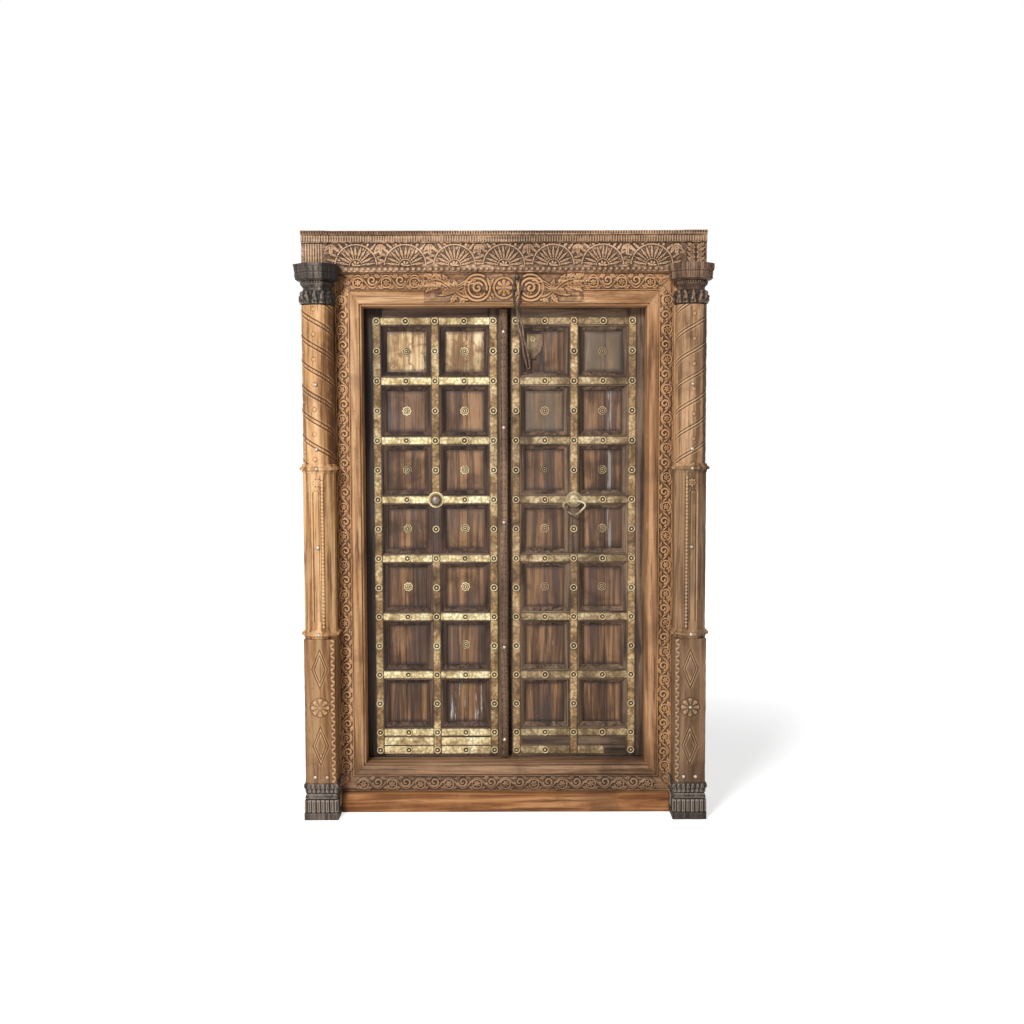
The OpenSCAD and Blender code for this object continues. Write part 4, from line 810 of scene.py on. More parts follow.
ledges = np.array([z_bead, z_reed, z_fillet])
z_rows = np.unique(np.r_[carving.v, ledges - 0.05, ledges + 0.05])
x_rows = np.unique(np.r_[carving.u, np.linspace(MID, BLOCK_IN, 40), -np.linspace(MID, BLOCK_IN, 40)])
X, Z = np.meshgrid(x_rows, z_rows, indexing="ij")
front = np.stack([X, lintel_base(X, Z) - carving.sample(carving.h, X, Z), Z], -1)
shade = carving.sample(carving.cavity(3, 2.2, 0.4), X, Z).ravel()
put("carved_lintel", [(*slab(front, Y_BACK), shade)], lintel_wood, "frame", ["lintel"], 40)
print("lintel columns and rows:", X.shape)

# %% [markdown]
# The pilasters are wrapped carving. An outline runs round the pilaster, from the frame's face
# and back to it, and is repeated up the height. The height map then moves each point outwards.
# Square block, collars, eight-sided middle and round shaft are four outlines in one mesh.


# %% Pilaster outlines
def subdivided(corners, step):
    """Points along a row of corners, with every corner kept, and how far along each one is."""
    points = [np.asarray(corners[0], float)]
    for a, b in zip(corners[:-1], corners[1:]):
        a, b = np.asarray(a, float), np.asarray(b, float)
        pitch = step if (a + b)[1] < 0 else 9 * step
        count = max(1, int(math.ceil(np.linalg.norm(b - a) / pitch)))
        points += [a + (b - a) * i / count for i in range(1, count + 1)]
    points = np.array(points)
    away = np.r_[0, np.cumsum(np.linalg.norm(np.diff(points, axis=0), axis=1))]
    tangent = np.gradient(points, axis=0)
    normal = np.c_[tangent[:, 1], -tangent[:, 0]]
    normal /= np.linalg.norm(normal, axis=1)[:, None]
    return points, away - away[-1] / 2, normal


def square_outline(half, back, chamfer=3.0):
    """Three sides of a square with chamfered front corners."""
    h, c = half, chamfer
    return [(-h, back), (-h, c - h), (c - h, -h), (h - c, -h), (h, c - h), (h, back)]


def eight_outline(half, back, neck):
    """Eight sides, joined to the frame by a neck."""
    short = half * math.tan(math.radians(22.5))
    join = half + short - neck
    right = [(short, -half), (half, -short), (half, short), (neck, join), (neck, back)]
    return [(-x, y) for x, y in reversed(right)] + right


def round_outline(half, back, neck):
    """A circle, joined to the frame by a neck."""
    stop = math.degrees(math.acos(neck / half))
    angles = np.radians(np.r_[np.linspace(-90, 12, 54), np.linspace(22, stop, 4)])
    right = [(half * math.cos(a), half * math.sin(a)) for a in angles] + [(neck, back)]
    return [(-x, y) for x, y in reversed(right[1:])] + right


def wrapped(side, outline, rows, carving, swell=None, step=2.4):
    """A column of one outline, moved outwards by the map; swell adds a profile over the height."""
    points, along, normal = subdivided(outline, step)
    A, Z = np.meshgrid(along, rows)
    rise = carving.sample(carving.h, A, Z)
    grid_x = points[None, :, 0] + normal[None, :, 0] * rise
    grid_y = points[None, :, 1] + normal[None, :, 1] * rise
    if swell is not None:
        grid_x = grid_x * swell[:, None]
        grid_y = np.where(points[None, :, 1] < PILASTER_OUT - 0.01, grid_y * swell[:, None], grid_y)
    grid_y = np.minimum(grid_y, PILASTER_OUT)
    grid_y[:, [0, -1]] = PILASTER_OUT
    grid = np.stack([side * (PILASTER_X + grid_x), Y_PILASTER + grid_y, Z], -1)
    return (*column(grid), carving.sample(carving.cavity(2, 1.3), A, Z).ravel())


# %% Pilasters
Z_FOOT, Z_CAPITAL = foot_high[2], capital_low[2]
BLOCK_H, COLLAR_H, MIDDLE_H = 519.0, 32.0, 554.0
Z1 = Z_FOOT + BLOCK_H
Z2 = Z1 + COLLAR_H
Z3 = Z2 + MIDDLE_H
Z4 = Z3 + COLLAR_H
GROUND_IN = 3.0
R = PILASTER_R - GROUND_IN
NECK = PILASTER_R * 0.8
WIDE_NECK = 52.0
COLLAR_HALF = 66.0
FLOWER_Z = Z_FOOT + (Z1 - Z_FOOT) * 0.525


def lower_block(side):
    """The square block: two diamonds, a flower and a strip of leaves down one edge."""
    carving = Carving(-190, 190, Z_FOOT, Z1, 2.4)
    for middle in (0.26, 0.79):
        z, w, h = Z_FOOT + (Z1 - Z_FOOT) * middle, R / 2, 70.0
        for share in (1.0, 0.72):
            diamond = [(0, h), (w, 0), (0, -h), (-w, 0), (0, h)]
            carving.groove([(x * share, z + y * share) for x, y in diamond], 6, 3.2)
    carving.groove(spiral((0, FLOWER_Z), 35, 35, 0, 360, 40), 5, 1.6)
    carving.flower((0, FLOWER_Z), 33, 8, 5.2)
    for k in range(36):
        z = Z_FOOT + 8 + k * 14.4
        carving.leaf((-R + (2 if k % 2 else 16), z - 5), 19, 12, 40 if k % 2 else 140, 3.4, 1)
    carving.groove([(-R + 17.5, Z_FOOT), (-R + 17.5, Z1)], 3, 1.2)
    carving.wear(0.4)
    rows = np.arange(Z_FOOT, Z1 + 1, 2.6).clip(max=Z1)
    return wrapped(side, square_outline(R, PILASTER_OUT), rows, carving)


def collar(side, z):
    """A moulded eight-sided ring."""
    carving = Carving(-230, 230, z, z + COLLAR_H, 2.5)
    carving.wear(0.3)
    share = np.array([0, 0.1, 0.2, 0.28, 0.35, 0.37, 0.5, 0.63, 0.65, 0.72, 0.8, 0.9, 1])
    profile = np.interp(share, [0, 0.2, 0.35, 0.37, 0.63, 0.65, 0.8, 1],
        [0.85, 0.87, 0.9, 1, 1, 0.95, 0.88, 0.85])
    outline = eight_outline(COLLAR_HALF, PILASTER_OUT, WIDE_NECK)
    return wrapped(side, outline, z + COLLAR_H * share, carving, profile)


def middle_shaft(side):
    """The eight-sided length, with an arched flute, beads and grooves."""
    carving = Carving(-200, 200, Z2, Z3, 2.4)
    for x in (-5, 15):
        carving.groove([(x, Z2 + 30), (x, Z3 - 70)], 5, 2.8)
    carving.groove(spiral((5, Z3 - 70), 10, 10, 0, 180, 16), 5, 2.8)
    carving.flower((0, Z3 - 34), 15, 8, 4)
    for k in range(42):
        z = Z2 + 12 + k * 12.8
        carving.flower((-17, z), 5.6, 4, 3.2)
    for x in (-10, -24, 26):
        carving.groove([(x, Z2), (x, Z3)], 4, 2)
    carving.wear(0.4)
    return wrapped(side, eight_outline(R, PILASTER_OUT, NECK), np.linspace(Z2, Z3, 210), carving)


def round_shaft(side):
    """The round length, with bands that climb round it and small flowers between them."""
    carving = Carving(-190, 190, Z4, Z_CAPITAL, 2.2)
    pitch, slope = 87.0, 0.54
    first, half_band = (61.0, 7.5) if side < 0 else (43.0, 5.5)
    for k in range(-3, 9):
        z0 = Z4 + first + k * pitch
        line = np.array([(u, z0 + slope * u) for u in np.linspace(-120, 120, 9)])
        for off in (-half_band, half_band):
            carving.groove(line + (0, off), 6, 4)
        if side < 0:
            carving.soil(line, 2 * half_band, 0.4)
            for u in np.arange(-112, 112, 9.0):
                carving.flower((u, z0 + slope * u), 4.6, 4, 2.6)
        for u in (0, 48)[: 1 + k % 2]:
            middle = (u + 6, z0 + slope * u + pitch / 2)
            carving.groove(spiral(middle, 8.5, 8.5, 0, 360, 20), 4, 1.5)
            carving.flower(middle, 6, 6, 1.8)
    # Painted shade down the side of the shaft turned from the light: the inner side on the left, the outer
    # side on the right.
    shaded_side = np.clip((-carving.u - 20) / 30, 0, 1) if side < 0 else np.clip((carving.u - 38) / 24, 0, 1)
    carving.dirt_and_shade += 0.6 * shaded_side[:, None]
    carving.wear(0.4)
    return wrapped(side, round_outline(R, PILASTER_OUT, NECK), np.linspace(Z4, Z_CAPITAL, 250), carving)


for side, name in ((-1, "left"), (1, "right")):
    parts = [lower_block(side), collar(side, Z1), middle_shaft(side), collar(side, Z3), round_shaft(side)]
    put(name + "_carved_pilaster", parts, pilaster_wood[side], "frame", [name + "_pilaster"], 45)
print("pilasters wrapped")

# %% [markdown]
# Capitals and feet are nearly black and cut deep. The capital is a wrapped eight-sided profile
# with a ring of leaves below, a hollow, and a wide top block; the foot is a wrapped square.

# %% Capitals and feet
CAPITAL_H = capital_high[2] - Z_CAPITAL
CAPITAL_W = 2 * (capital_high[0] - PILASTER_X)


def capital(side):
    """Leaves, a hollow and the top block, which is chequered left and fluted right."""
    rows = np.linspace(0, 1, 74)
    c = CAPITAL_W / 2
    half = np.interp(rows, [0, 0.08, 0.22, 0.33, 0.37, 0.42, 0.5, 0.56, 0.6, 0.63, 0.9, 1],
        [51, 55, 59, 56, 46, 45.5, 54, 58, 52, c * 0.92, c - 0.6, c - 0.6])
    carving = Carving(-260, 260, 0, 1, 0.01)
    carving.u = np.linspace(-260, 260, 209)
    carving.h = np.zeros((209, len(carving.v)))
    A, Z = np.meshgrid(carving.u, carving.v, indexing="ij")
    # Painted shade on the inner side of the left capital; the leaf ring below is darker all round.
    carving.dirt_and_shade = 0.95 * np.clip((-A - 22) / 12, 0, 1) * (side < 0) + 0.25 * (Z < 0.36)
    leaf = np.abs((A / 27.0 + 0.5) % 1 - 0.5) * 2
    low = (Z < 0.36) & (Z > 0.03)
    tip = np.clip((0.36 - Z) / 0.33, 0, 1)
    swollen = np.clip(1 - (leaf / (0.25 + 0.7 * tip)) ** 2, 0, 1) ** 0.5
    carving.h += np.where(low, 8 * swollen - 2 * (leaf < 0.12), 0)
    carving.h += np.where((Z > 0.52) & (Z < 0.6), 2.5 * np.cos(A / 9.0 * 2 * np.pi) - 2.5, 0)
    if side > 0:
        carving.h += np.where(Z > 0.64, 1.6 * np.cos(A / 8.0 * 2 * np.pi) - 1.6, 0)
        carving.h += np.where(np.abs(Z - 0.8) < 0.02, -2.0, 0)
    else:
        check = np.minimum(np.abs(np.sin(A / 19.0 * np.pi)), np.abs(np.sin((Z - 0.64) / 0.15 * np.pi)))
        carving.h += np.where((Z > 0.64) & (Z < 0.94), 3.0 * np.clip(2.2 * check, 0, 1) - 3.0, 0)
    ragged = np.cos(A / 6.3 + 9 * Z) * np.cos(Z * 41 - A / 11)
    carving.h += np.where(low, 2.2 * ragged - 1, 0)
    carving.wear(0.5)
    carving.h = np.where(Z > 0.6, np.minimum(carving.h, 0), carving.h)
    points, along, normal = subdivided(eight_outline(c, PILASTER_OUT, WIDE_NECK), 3.0)
    scale = half / c
    A, Z = np.meshgrid(along, rows)
    rise = carving.sample(carving.h, A * scale[:, None], Z)
    x = points[None, :, 0] * scale[:, None] + normal[None, :, 0] * rise
    y = points[None, :, 1] * scale[:, None] + normal[None, :, 1] * rise
    back = np.where(Z * CAPITAL_H + Z_CAPITAL > Z_LINTEL, PILASTER_OUT - FRIEZE_PROUD - 1, PILASTER_OUT)
    y = np.where(points[None, :, 1] > PILASTER_OUT - 0.01, back, np.minimum(y, back))
    grid = np.stack([side * (PILASTER_X + x), Y_PILASTER + y, Z_CAPITAL + Z * CAPITAL_H], -1)
    return (*column(grid), carving.sample(carving.cavity(3, 2.6), A * scale[:, None], Z).ravel())


def foot(side):
    """A square foot of mouldings, with reeds and leaves."""
    half = (foot_high[0] - foot_low[0]) / 2
    carving = Carving(-200, 200, 0, Z_FOOT, 2.0)
    for x in np.arange(-180, 181, 17.4):
        carving.ridge([(x, Z_FOOT * 0.22), (x, Z_FOOT * 0.5)], 15, 5.5, 1.5)
        carving.leaf((x, Z_FOOT * 0.98), Z_FOOT * 0.3, 15, 270, 4)
    for share in (0.2, 0.56, 0.72):
        carving.groove([(-200, Z_FOOT * share), (200, Z_FOOT * share)], 7, 5)
    carving.wear(0.6)
    rows = np.linspace(0, Z_FOOT, 70)
    profile = np.interp(rows / Z_FOOT, [0, 0.19, 0.21, 0.54, 0.6, 0.7, 0.84, 0.88, 1],
        [1, 1, 0.93, 0.92, 0.95, 0.9, 0.9, 0.97, 0.95])
    carving.h = np.where(np.abs(carving.v)[None, :] < Z_FOOT * 0.2, np.minimum(carving.h, 0), carving.h)
    return wrapped(side, square_outline(half, PILASTER_OUT), rows, carving, profile)


for side, name in ((-1, "left"), (1, "right")):
    finish = capital_wood if side < 0 else brown_wood
    put(name + "_carved_capital", [capital(side)], finish, "frame", [name + "_capital"], 40)
    put(name + "_carved_foot", [foot(side)], dark_wood, "frame", [name + "_foot"], 40)

# %% [markdown]
# Plain timbers keep the shape of their solids. A copy of each is merged, cleaned to flat faces
# and given small rounded arrises, because no edge of an old door is sharp.


# %% Plain timbers with worn arrises
def worn(node, finish, body, arris=1.4, segments=2):
    """A copy of a CAD node with rounded edges, in its place."""
    work = bmesh.new()
    work.from_mesh(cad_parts[node].data)
    bmesh.ops.remove_doubles(work, verts=work.verts, dist=1e-5)
    bmesh.ops.dissolve_limit(work, angle_limit=math.radians(2), verts=work.verts, edges=work.edges)
    edges = [e for e in work.edges if len(e.link_faces) == 2 and e.calc_face_angle(0) > math.radians(30)]
    bmesh.ops.bevel(work, geom=edges, offset=arris * MM, segments=segments, profile=0.6,
        affect="EDGES", clamp_overlap=True)
    mesh = bpy.data.meshes.new(node + "_worn")
    work.to_mesh(mesh)
    work.free()
    return dress(mesh, node + "_worn", finish, body, [node], 40)


TONGUE_REACH, TONGUE_SWELL = 2.2, 0.17


def swell_tongue(piece, side):
    """Brings the leaf's tongue closer to the other one, so that no light passes between them."""
    low, high = span(side + "_meeting_stile")
    edge, way = (high[0], 1) if side == "left" else (low[0], -1)
    for vertex in piece.data.vertices:
        if abs(vertex.co.x / MM - edge) < TONGUE_REACH:
            vertex.co.x += way * TONGUE_SWELL * MM


for node in ("header", "top_architraves"):
    worn(node, wood_x, "frame")
for node in ("sill", "bottom_architrave"):
    worn(node, sill_wood, "frame")
for node in ("left_post", "right_post", "left_architrave", "right_architrave"):
    worn(node, carved_z if node == "right_architrave" else wood_z, "frame")
worn("threshold", step_wood, "frame", 2.5, 3)
for side in ("left", "right"):
    leaf = side + "_leaf"
    for node in ("top_rail", "cross_rails", "bottom_rail"):
        worn(side + "_" + node, leaf_wood[side, "x"], leaf, 1.8)
    for node in ("hinge_stile", "meeting_stile", "muntins", "panel_mouldings"):
        # The left hinge stile takes the painted-shadow copy of the leaf wood.
        finish = shaded_stile_wood if (side, node) == ("left", "hinge_stile") else leaf_wood[side, "z"]
        piece = worn(side + "_" + node, finish, leaf, 1.8 if node != "panel_mouldings" else 0.8)
        if node == "meeting_stile":
            swell_tongue(piece, side)
    worn(side + "_planks", left_planks if side == "left" else right_planks, leaf, 1.0)
    for kind in ("upright", "cross"):
        worn(side + "_" + kind + "_straps", strap_brass[side, kind], leaf, 0.7)
    worn(side + "_kick_bands", kick_brass[side], leaf, 0.7)
print("plain timbers and straps worn")

# %% [markdown]
# Bosses, nails and flowers repeat by the dozen. One small shape is modelled for each, and a
# Geometry Nodes tree sets a copy on every point, with a slightly different size and turn. The
# result is realised and turned into a plain mesh, one for each leaf.


# %% A tree that sets one shape on many points
def scatter_tree():
    """The tree: points, one shape, a random size and turn, and a finish."""
    tree = bpy.data.node_groups.new("set_on_points", "GeometryNodeTree")
    face = tree.interface
    face.new_socket("Geometry", in_out="INPUT", socket_type="NodeSocketGeometry")
    face.new_socket("Shape", in_out="INPUT", socket_type="NodeSocketObject")
    face.new_socket("Finish", in_out="INPUT", socket_type="NodeSocketMaterial")
    face.new_socket("Smallest", in_out="INPUT", socket_type="NodeSocketFloat")
    face.new_socket("Turn", in_out="INPUT", socket_type="NodeSocketFloat")
    face.new_socket("Seed", in_out="INPUT", socket_type="NodeSocketInt")
    face.new_socket("Geometry", in_out="OUTPUT", socket_type="NodeSocketGeometry")
    start = tree.nodes.new("NodeGroupInput").outputs
    points = add(tree, "GeometryNodeMeshToPoints", {"Mesh": start["Geometry"]})
    shape = add(tree, "GeometryNodeObjectInfo", {"Object": start["Shape"]})
    size = add(tree, "FunctionNodeRandomValue", {"Min": start["Smallest"], "Max": 1.0, "Seed": start["Seed"]})
    turn = add(tree, "FunctionNodeRandomValue", {"Max": start["Turn"], "Seed": start["Seed"]})
    spin = add(tree, "ShaderNodeCombineXYZ", {"Y": turn.outputs[1]})
    copies = add(tree, "GeometryNodeInstanceOnPoints", {"Points": points.outputs[0],
        "Instance": shape.outputs["Geometry"], "Rotation": spin.outputs[0], "Scale": size.outputs[1]})
    real = add(tree, "GeometryNodeRealizeInstances", {"Geometry": copies.outputs[0]})
    done = add(tree, "GeometryNodeSetMaterial", {"Geometry": real.outputs[0], "Material": start["Finish"]})
    end = tree.nodes.new("NodeGroupOutput")
    tree.links.new(done.outputs[0], end.inputs[0])
    return tree


SET_ON_POINTS = scatter_tree()
SOCKETS = SET_ON_POINTS.interface.items_tree
INPUT_ID = {item.name: item.identifier for item in SOCKETS if item.in_out == "INPUT"}


def scatter(name, shape, points, finish, body, replaced=(), smallest=0.94, turn=6.28, seed=3):
    """Copies of a shape, given as (vertices, faces, cavity) in millimetres, on a list of points."""
    base = bpy.data.meshes.new(name + "_shape")
    base.from_pydata((np.asarray(shape[0]) * MM).tolist(), [], shape[1])
    shaded(base, shape[2])
    work = bmesh.new()
    work.from_mesh(base)
    bmesh.ops.recalc_face_normals(work, faces=work.faces)
    work.to_mesh(base)
    work.free()
    carrier = bpy.data.meshes.new(name + "_points")
    carrier.from_pydata((np.asarray(points) * MM).tolist(), [], [])
    helpers = [bpy.data.objects.new(mesh.name, mesh) for mesh in (base, carrier)]
    for helper in helpers:
        bpy.context.scene.collection.objects.link(helper)
    nodes = helpers[1].modifiers.new("set_on_points", "NODES")
    nodes.node_group = SET_ON_POINTS
    inputs = {"Shape": helpers[0], "Finish": finish, "Smallest": smallest, "Turn": turn, "Seed": seed}
    for key, value in inputs.items():
        nodes[INPUT_ID[key]] = value
    bpy.context.view_layer.update()
    ready = helpers[1].evaluated_get(bpy.context.evaluated_depsgraph_get())
    mesh = bpy.data.meshes.new_from_object(ready)
    for helper in helpers:
        bpy.data.objects.remove(helper)
    print(name, "copies:", len(points), "faces:", len(mesh.polygons))
    return dress(mesh, name, finish, body, replaced, 60)


def lathe(profile, sides=20, lobes=0, depth=0.0):
    """A shape turned about Y from (radius, height, cavity) steps, facing the front; lobes scallop it."""
    vertices, shade = [], []
    for radius, height, tone in profile:
        for k in range(sides):
            a = 2 * math.pi * k / sides
            r = radius * (1 + depth * math.cos(lobes * a))
            vertices.append((r * math.cos(a), -height, r * math.sin(a)))
            shade.append(tone)
    index = np.arange(len(profile) * sides).reshape(len(profile), sides)
    index = np.c_[index, index[:, :1]]
    faces = quads(index) + [list(index[0, :-1]), list(index[-1, :-1])]
    return vertices, faces, shade


# %% [markdown]
# The strap bosses are small rings with a hollow and a bead in the middle. Their places follow
# the straps: every crossing, and halfway between.

# %% Bosses and flowers
y_strap = strap_low[1]
KICK_HALF = 14.0
kick_z = strap_low[2] + KICK_HALF
# The tones paint shadow at the foot of the rim and in the hollow, and highlights on the ring and the bead.
boss = lathe([(14, 0, -0.6), (14, 1.6, -0.5), (13.4, 5.2, 0.5), (11.8, 6.4, 0.7), (10, 5.4, 0.5),
    (8.6, 1.6, -0.6), (5.4, 1.4, -0.9), (4.4, 4.5, -0.1), (3, 7.4, 0.5), (0.8, 8.4, 0.7)], 20, 10, 0.025)
places = [(x, z) for i, z in enumerate(rows) for j, x in enumerate(columns) if (i, j) != (GRIP_ROW, 1)]
row_mids, column_mids = (rows[:-1] + rows[1:]) / 2, (columns[:-1] + columns[1:]) / 2
bare_place = (columns[1], row_mids[GRIP_ROW])
places += [(x, z) for z in row_mids for x in columns if (x, z) != bare_place]
places += [(x, z) for z in rows for x in column_mids]
panel_places = [(x, z) for z in row_mids for x in column_mids]
with_flower = {-1: panel_places[:11], 1: panel_places[1:10]}
# The tones paint shade at the foot and in the grooves and hollow, and highlights on the rings and the bead.
flower = lathe([(17, 0, -0.8), (17, 2, -0.2), (15, 3.2, 0.4), (12.4, 2.4, -0.4), (9.8, 2.2, -0.7),
    (9, 4.6, 0.5), (7.4, 5, 0.7), (5.8, 2.4, -0.9), (4, 2.4, -0.9), (3.4, 5.5, 0.2), (2.2, 8, 0.6),
    (0.6, 8.8, 0.7)], 32, 8, 0.09)
half_step = (columns[1] - columns[0]) / 2
kick_places = {-1: columns[0] + half_step * np.arange(5), 1: columns[0] + half_step * np.array([0, 1, 4])}
for side, name, brass, dull in ((-1, "left", boss_left, boss_left), (1, "right", boss_right, flower_right)):
    spots = places + [(x, kick_z) for x in kick_places[side]]
    spots = [(side * x, y_strap, z) for x, z in spots]
    spots.append((side * bare_place[0], strap_high[1], bare_place[1]))
    scatter(name + "_bosses", boss, spots, brass, name + "_leaf", [name + "_strap_bosses"])
    spots = [(side * x, Y_PLANK, z) for x, z in with_flower[side]]
    scatter(name + "_flowers", flower, spots, dull, name + "_leaf",
        [name + "_panel_flowers"], seed=5)

# %% [markdown]
# Round-headed nails hold the pilasters and the bar. They stand on the collars, on the shafts and
# at the foot of the lower block, and the tree sets them like the bosses.

# %% Nails of the pilasters and the bar
# The tones paint shade under the head and a highlight on its top.
nail = lathe([(6.4, -3, -0.8), (7, 0, -0.5), (6.9, 1.2, 0), (6.2, 2.6, 0.2), (4.6, 3.9, 0.3), (2.4, 4.7, 0.5),
    (0.5, 5, 0.5)], 20)
BAR_LOW, BAR_HIGH = span("meeting_bar")
collar_y = Y_PILASTER - 64.2
shaft_y = Y_PILASTER - PILASTER_R + 0.5
nail_places = []
for side in (-1, 1):
    spots = [(-22, Z_FOOT + 22, shaft_y), (20, Z_FOOT + 22, shaft_y), (0, Z1 + COLLAR_H / 2, collar_y),
        (0, Z2 + MIDDLE_H * 0.53, shaft_y), (0, Z3 + COLLAR_H / 2, collar_y),
        (0, Z4 + 52, shaft_y), (0, Z4 + 278, shaft_y)]
    spots += [(0, FLOWER_Z, shaft_y)] if side > 0 else []
    nail_places += [(side * (PILASTER_X + dx), y, z) for dx, z, y in spots]
scatter("pilaster_nails", nail, nail_places, nail_metal, "frame", ["pilaster_studs"], 0.9)
bar_mid = (BAR_LOW[0] + BAR_HIGH[0]) / 2
bar_h = BAR_HIGH[2] - BAR_LOW[2]
bar_nails = [(bar_mid, BAR_LOW[1], BAR_LOW[2] + k * bar_h) for k in (0.04, 0.25, 0.53, 0.74, 0.95)]
scatter("bar_nails", nail, bar_nails, nail_metal, "left_leaf", ["meeting_bar_studs"], 0.9)

# %% [markdown]
# Two rows on the lintel repeat too: a bead row under the frieze and fine dentils over it. They
# use the same tree, with a half bead and a small chamfered block as the shapes.

# %% Beads and dentils of the lintel
BEAD_PITCH, DENTIL_PITCH = 20.0, 9.0
# The tones paint shade at the bead's foot and a highlight on its top.
bead = lathe([(8.2, -1, -0.8), (8.0, 2.5, -0.2), (6.8, 5.4, 0.2), (4.4, 7.6, 0.4), (1.2, 8.8, 0.5)], 12)
bead_half = PILASTER_X - CAPITAL_W / 2 - 6
bead_count = int(2 * bead_half // BEAD_PITCH)
bead_x = (np.arange(bead_count) - (bead_count - 1) / 2) * BEAD_PITCH
scatter("lintel_beads", bead, [(x, y_frieze, Z_LINTEL + BEAD_H / 2) for x in bead_x], lintel_wood,
    "frame", smallest=0.85, turn=0.0)


def dentil(width, height, depth, slope=1.2):
    """A small block with a sloped edge all round."""
    w, s = width / 2, slope
    ring = [(-w, 0, 0), (w, 0, 0), (w, 0, height), (-w, 0, height)]
    tip = [(s - w, -depth, s), (w - s, -depth, s), (w - s, -depth, height - s), (s - w, -depth, height - s)]
    sides = [[i, (i + 1) % 4, (i + 1) % 4 + 4, i + 4] for i in range(4)]
    # The base corners are painted as shade and the front face as a highlight.
    return ring + tip, sides + [[0, 1, 2, 3], [4, 5, 6, 7]], [-0.8] * 4 + [0.4] * 4


count = int(2 * LINTEL_X // DENTIL_PITCH)
dentil_x = (np.arange(count) - (count - 1) / 2) * 2 * LINTEL_X / count
dentil_y = lintel_base(dentil_x, np.full(count, z_reed + 5))
spots = [(x, y, z_reed + 3) for x, y in zip(dentil_x, dentil_y)]
scatter("lintel_dentils", dentil(6.0, REED_H - 4, 5.0), spots, lintel_wood, "frame",
    smallest=0.9, turn=0.0)

# %% [markdown]
# The bar over the meeting edge is carved all the way down with pointed scales, and is darker
# than the leaves from handling.

# %% Meeting bar
bar_w = BAR_HIGH[0] - BAR_LOW[0]
y_leaf = span("right_meeting_stile")[0][1]
carving = Carving(BAR_LOW[2], BAR_HIGH[2], -bar_w / 2, bar_w / 2, 1.8)
SCALE_PITCH = 26.0
count = int(bar_h // SCALE_PITCH)
for k in range(count):
    z = BAR_LOW[2] + (k + 0.5) * bar_h / count
    carving.leaf((z + 13, 0), 27, 22, 180, 3.0, 1)
    for e in (-1, 1):
        carving.leaf((z - 2, e * 5), 16, 9, 90 * e + 30, 2.4, 1)
for e in (-1, 1):
    carving.ridge([(BAR_LOW[2], e * (bar_w / 2 - 5)), (BAR_HIGH[2], e * (bar_w / 2 - 5))], 3, 1.6)
carving.wear(0.3)
S, T = np.meshgrid(carving.u, carving.v, indexing="ij")
edge = np.interp(np.abs(T), [bar_w / 2 - 5, bar_w / 2], [14.0, 8.4])
front = np.stack([bar_mid + T, y_leaf - edge - np.maximum(carving.h, -1), S], -1)
shade = carving.cavity().ravel()
put("carved_bar", [(*slab(front, y_leaf), shade)], bar_wood, "left_leaf", ["meeting_bar"])

# %% [markdown]
# The left knob is a plain iron dome on a ribbed brass washer. On the right a domed boss carries
# an eye, and the pull ring hangs in it. The ring and the links of the hasp have their real shape
# in the solids, so they get a finish, and the lower link is made a little stouter below its eye.

# %% Knob, washer, ring and hasp
knob_low, knob_high = span("left_knob")
knob_mid = (knob_low + knob_high) / 2
knob_r = (knob_high[0] - knob_low[0]) / 2


def turned_piece(name, shape, seat, finish, replaced):
    """A turned piece of the left leaf, set on the knob's axis at a seat depth."""
    points = np.asarray(shape[0]) + (knob_mid[0], seat, knob_mid[2])
    return put(name, [(points, shape[1], shape[2])], finish, "left_leaf", [replaced], 45)


# The tones paint shade at the foot of the dome and in the washer's groove, and highlights on the dome's top
# and the washer's rim.
dome = [(1, 0, -0.4), (1, 4, 0), (0.97, 8, 0), (0.9, 12.5, 0.1), (0.78, 17, 0.2), (0.6, 20.5, 0.3),
    (0.36, 23, 0.4), (0.12, 24, 0.5)]
dome = [(knob_r * share, height, tone) for share, height, tone in dome]
turned_piece("iron_knob", lathe(dome, 40), knob_high[1], iron, "left_knob")
washer_low, washer_high = span("left_knob_washer")
washer_r = (washer_high[0] - washer_low[0]) / 2
plate = [(1, 0, -0.4), (1, 1.8, 0), (0.95, 3.6, 0.5), (0.86, 4.9, 0.6), (0.76, 3.6, -0.5),
    (0.72, 5, 0.2), (0.2, 5, 0)]
plate = [(washer_r * share, height, tone) for share, height, tone in plate]
turned_piece("ribbed_washer", lathe(plate, 48, 16, 0.02), washer_high[1], boss_left,
    "left_knob_washer")
worn("ring_boss", ring_brass, "right_leaf", 0.8)
worn("hasp_bracket", bronze, "right_leaf", 0.8)
link = worn("hasp_lower_link", link_iron, "lower_link", 0.3)
STOUTER, EYE_H, FADE = 1.3 * MM, 14.0, 24.0
link_top = span("hasp_lower_link")[1][2]
outward = [vertex.normal.copy() for vertex in link.data.vertices]
for vertex, normal in zip(link.data.vertices, outward):
    below = min(max((link_top - vertex.co.z / MM - EYE_H) / FADE, 0), 1)
    vertex.co += normal * (STOUTER * below)
for node, finish in (("bracket_boss", boss_right), ("pull_ring", ring_brass), ("hasp_upper_link", iron),
    ("hasp_staple", iron)):
    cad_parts[node].data.materials.clear()
    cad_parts[node].data.materials.append(finish)

# %% [markdown]
# The stage is a plain pale floor and soft studio light from the upper left and front. The floor
# and the world look white to the camera without lighting the door more, and the floor keeps its
# shadow. The camera stands where the photograph's camera stood.


# %% Stage, light and camera
def seen(tree):
    """1 for rays that show the background: straight from the camera, or by gloss or glass."""
    path = add(tree, "ShaderNodeLightPath").outputs
    shown = math_node(tree, "MAXIMUM", path["Is Camera Ray"], path["Is Glossy Ray"])
    return math_node(tree, "MAXIMUM", shown, path["Is Transmission Ray"])


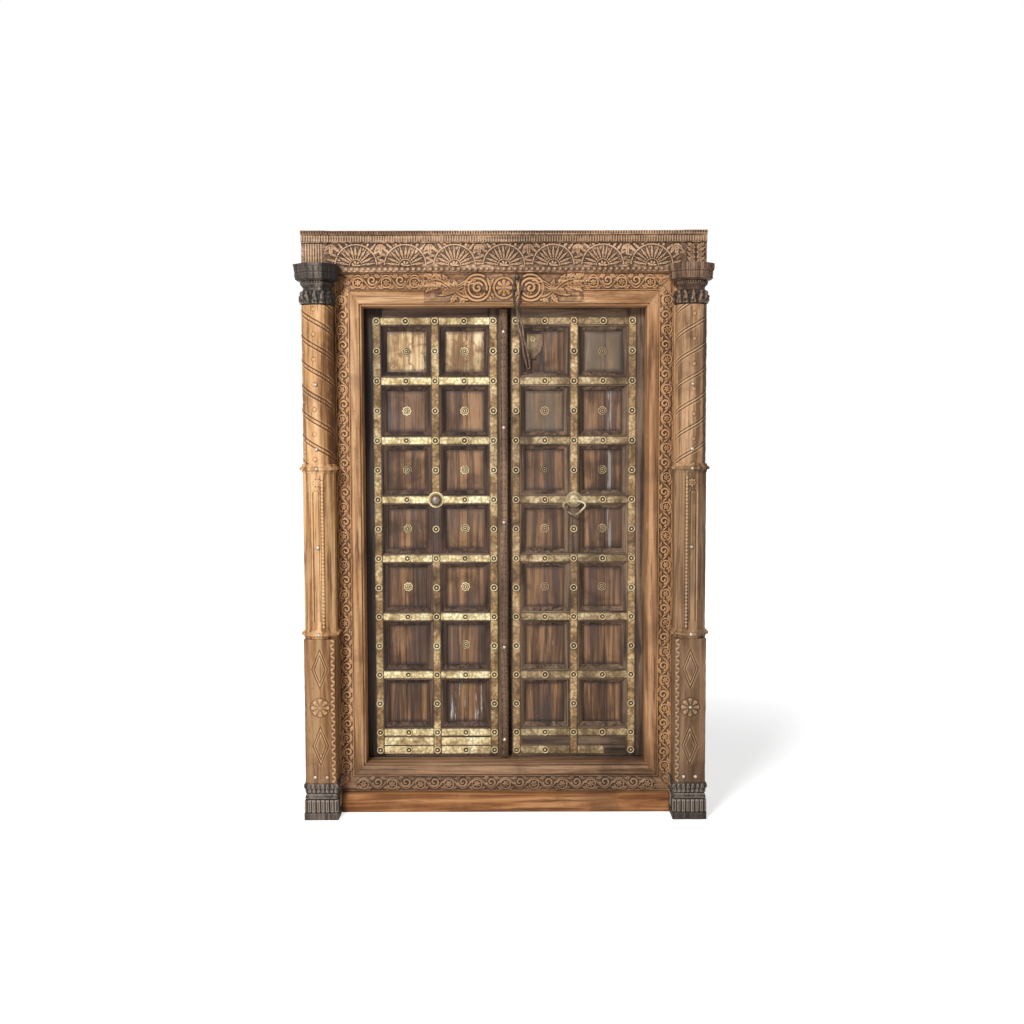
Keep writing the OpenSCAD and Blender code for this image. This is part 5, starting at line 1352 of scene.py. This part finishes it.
floor_finish = bpy.data.materials.new("pale_floor")
floor_finish.use_nodes = True
tree = floor_finish.node_tree
tree.nodes.clear()
matt = add(tree, "ShaderNodeBsdfDiffuse", {"Color": (0.9, 0.9, 0.9, 1)})
lift = add(tree, "ShaderNodeEmission", {"Color": (1, 1, 1, 1)})
place = add(tree, "ShaderNodeTexCoord").outputs["Object"]
away = add(tree, "ShaderNodeVectorMath", {0: place}, operation="LENGTH").outputs["Value"]
glow = math_node(tree, "MULTIPLY", seen(tree), fit(tree, away, 1.2, 3.0, 0.66, 1.0))
tree.links.new(glow, lift.inputs["Strength"])
both = add(tree, "ShaderNodeAddShader")
tree.links.new(matt.outputs[0], both.inputs[0])
tree.links.new(lift.outputs[0], both.inputs[1])
tree.links.new(both.outputs[0], add(tree, "ShaderNodeOutputMaterial").inputs["Surface"])
floor_mesh = bpy.data.meshes.new("floor")
floor_mesh.from_pydata([(-30, -20, 0), (30, -20, 0), (30, 40, 0), (-30, 40, 0)], [], [(0, 1, 2, 3)])
floor_mesh.materials.append(floor_finish)
floor = bpy.data.objects.new("floor", floor_mesh)
bpy.context.scene.collection.objects.link(floor)

world = bpy.data.worlds.new("studio")
bpy.context.scene.world = world
world.use_nodes = True
tree = world.node_tree
tree.nodes.clear()
soft = add(tree, "ShaderNodeBackground", {"Color": (1, 1, 1, 1), "Strength": 0.17})
white = add(tree, "ShaderNodeBackground", {"Color": (1, 1, 1, 1), "Strength": 1.0})
choice = add(tree, "ShaderNodeMixShader", {0: seen(tree), 1: soft.outputs[0], 2: white.outputs[0]})
tree.links.new(choice.outputs[0], add(tree, "ShaderNodeOutputWorld").inputs["Surface"])


def lamp(name, place, target, size, power):
    """A round soft light that looks at a target."""
    data = bpy.data.lights.new(name, "AREA")
    data.shape = "DISK"
    data.size = size
    data.energy = power
    made = bpy.data.objects.new(name, data)
    made.location = place
    made.rotation_mode = "QUATERNION"
    made.rotation_quaternion = (Vector(target) - Vector(place)).to_track_quat("-Z", "Y")
    bpy.context.scene.collection.objects.link(made)


lamp("key", (-1.7, -4.6, 3.6), (0, 0, 1.0), 1.2, 255)
lamp("fill", (-3.0, -4.2, 1.4), (0, 0, 1.0), 2.0, 45)

FOCAL_PIXELS, IMAGE, SENSOR = 1194.4, 1024, 36.0
EYE_X, EYE_AWAY, EYE_Z = 0.026, 4.3, 1.394
LOOK_DOWN, ROLL = 4.0, -0.15
camera_data = bpy.data.cameras.new("camera")
camera_data.sensor_width = SENSOR
camera_data.lens = FOCAL_PIXELS / IMAGE * SENSOR
camera = bpy.data.objects.new("camera", camera_data)
camera.location = (EYE_X, Y_FACE * MM - EYE_AWAY, EYE_Z)
camera.rotation_mode = "QUATERNION"
tilt, roll = Quaternion((1, 0, 0), math.radians(90 - LOOK_DOWN)), Quaternion((0, 0, 1), math.radians(ROLL))
camera.rotation_quaternion = tilt @ roll
bpy.context.scene.collection.objects.link(camera)
bpy.context.scene.camera = camera
bpy.context.scene.view_settings.view_transform = "Standard"
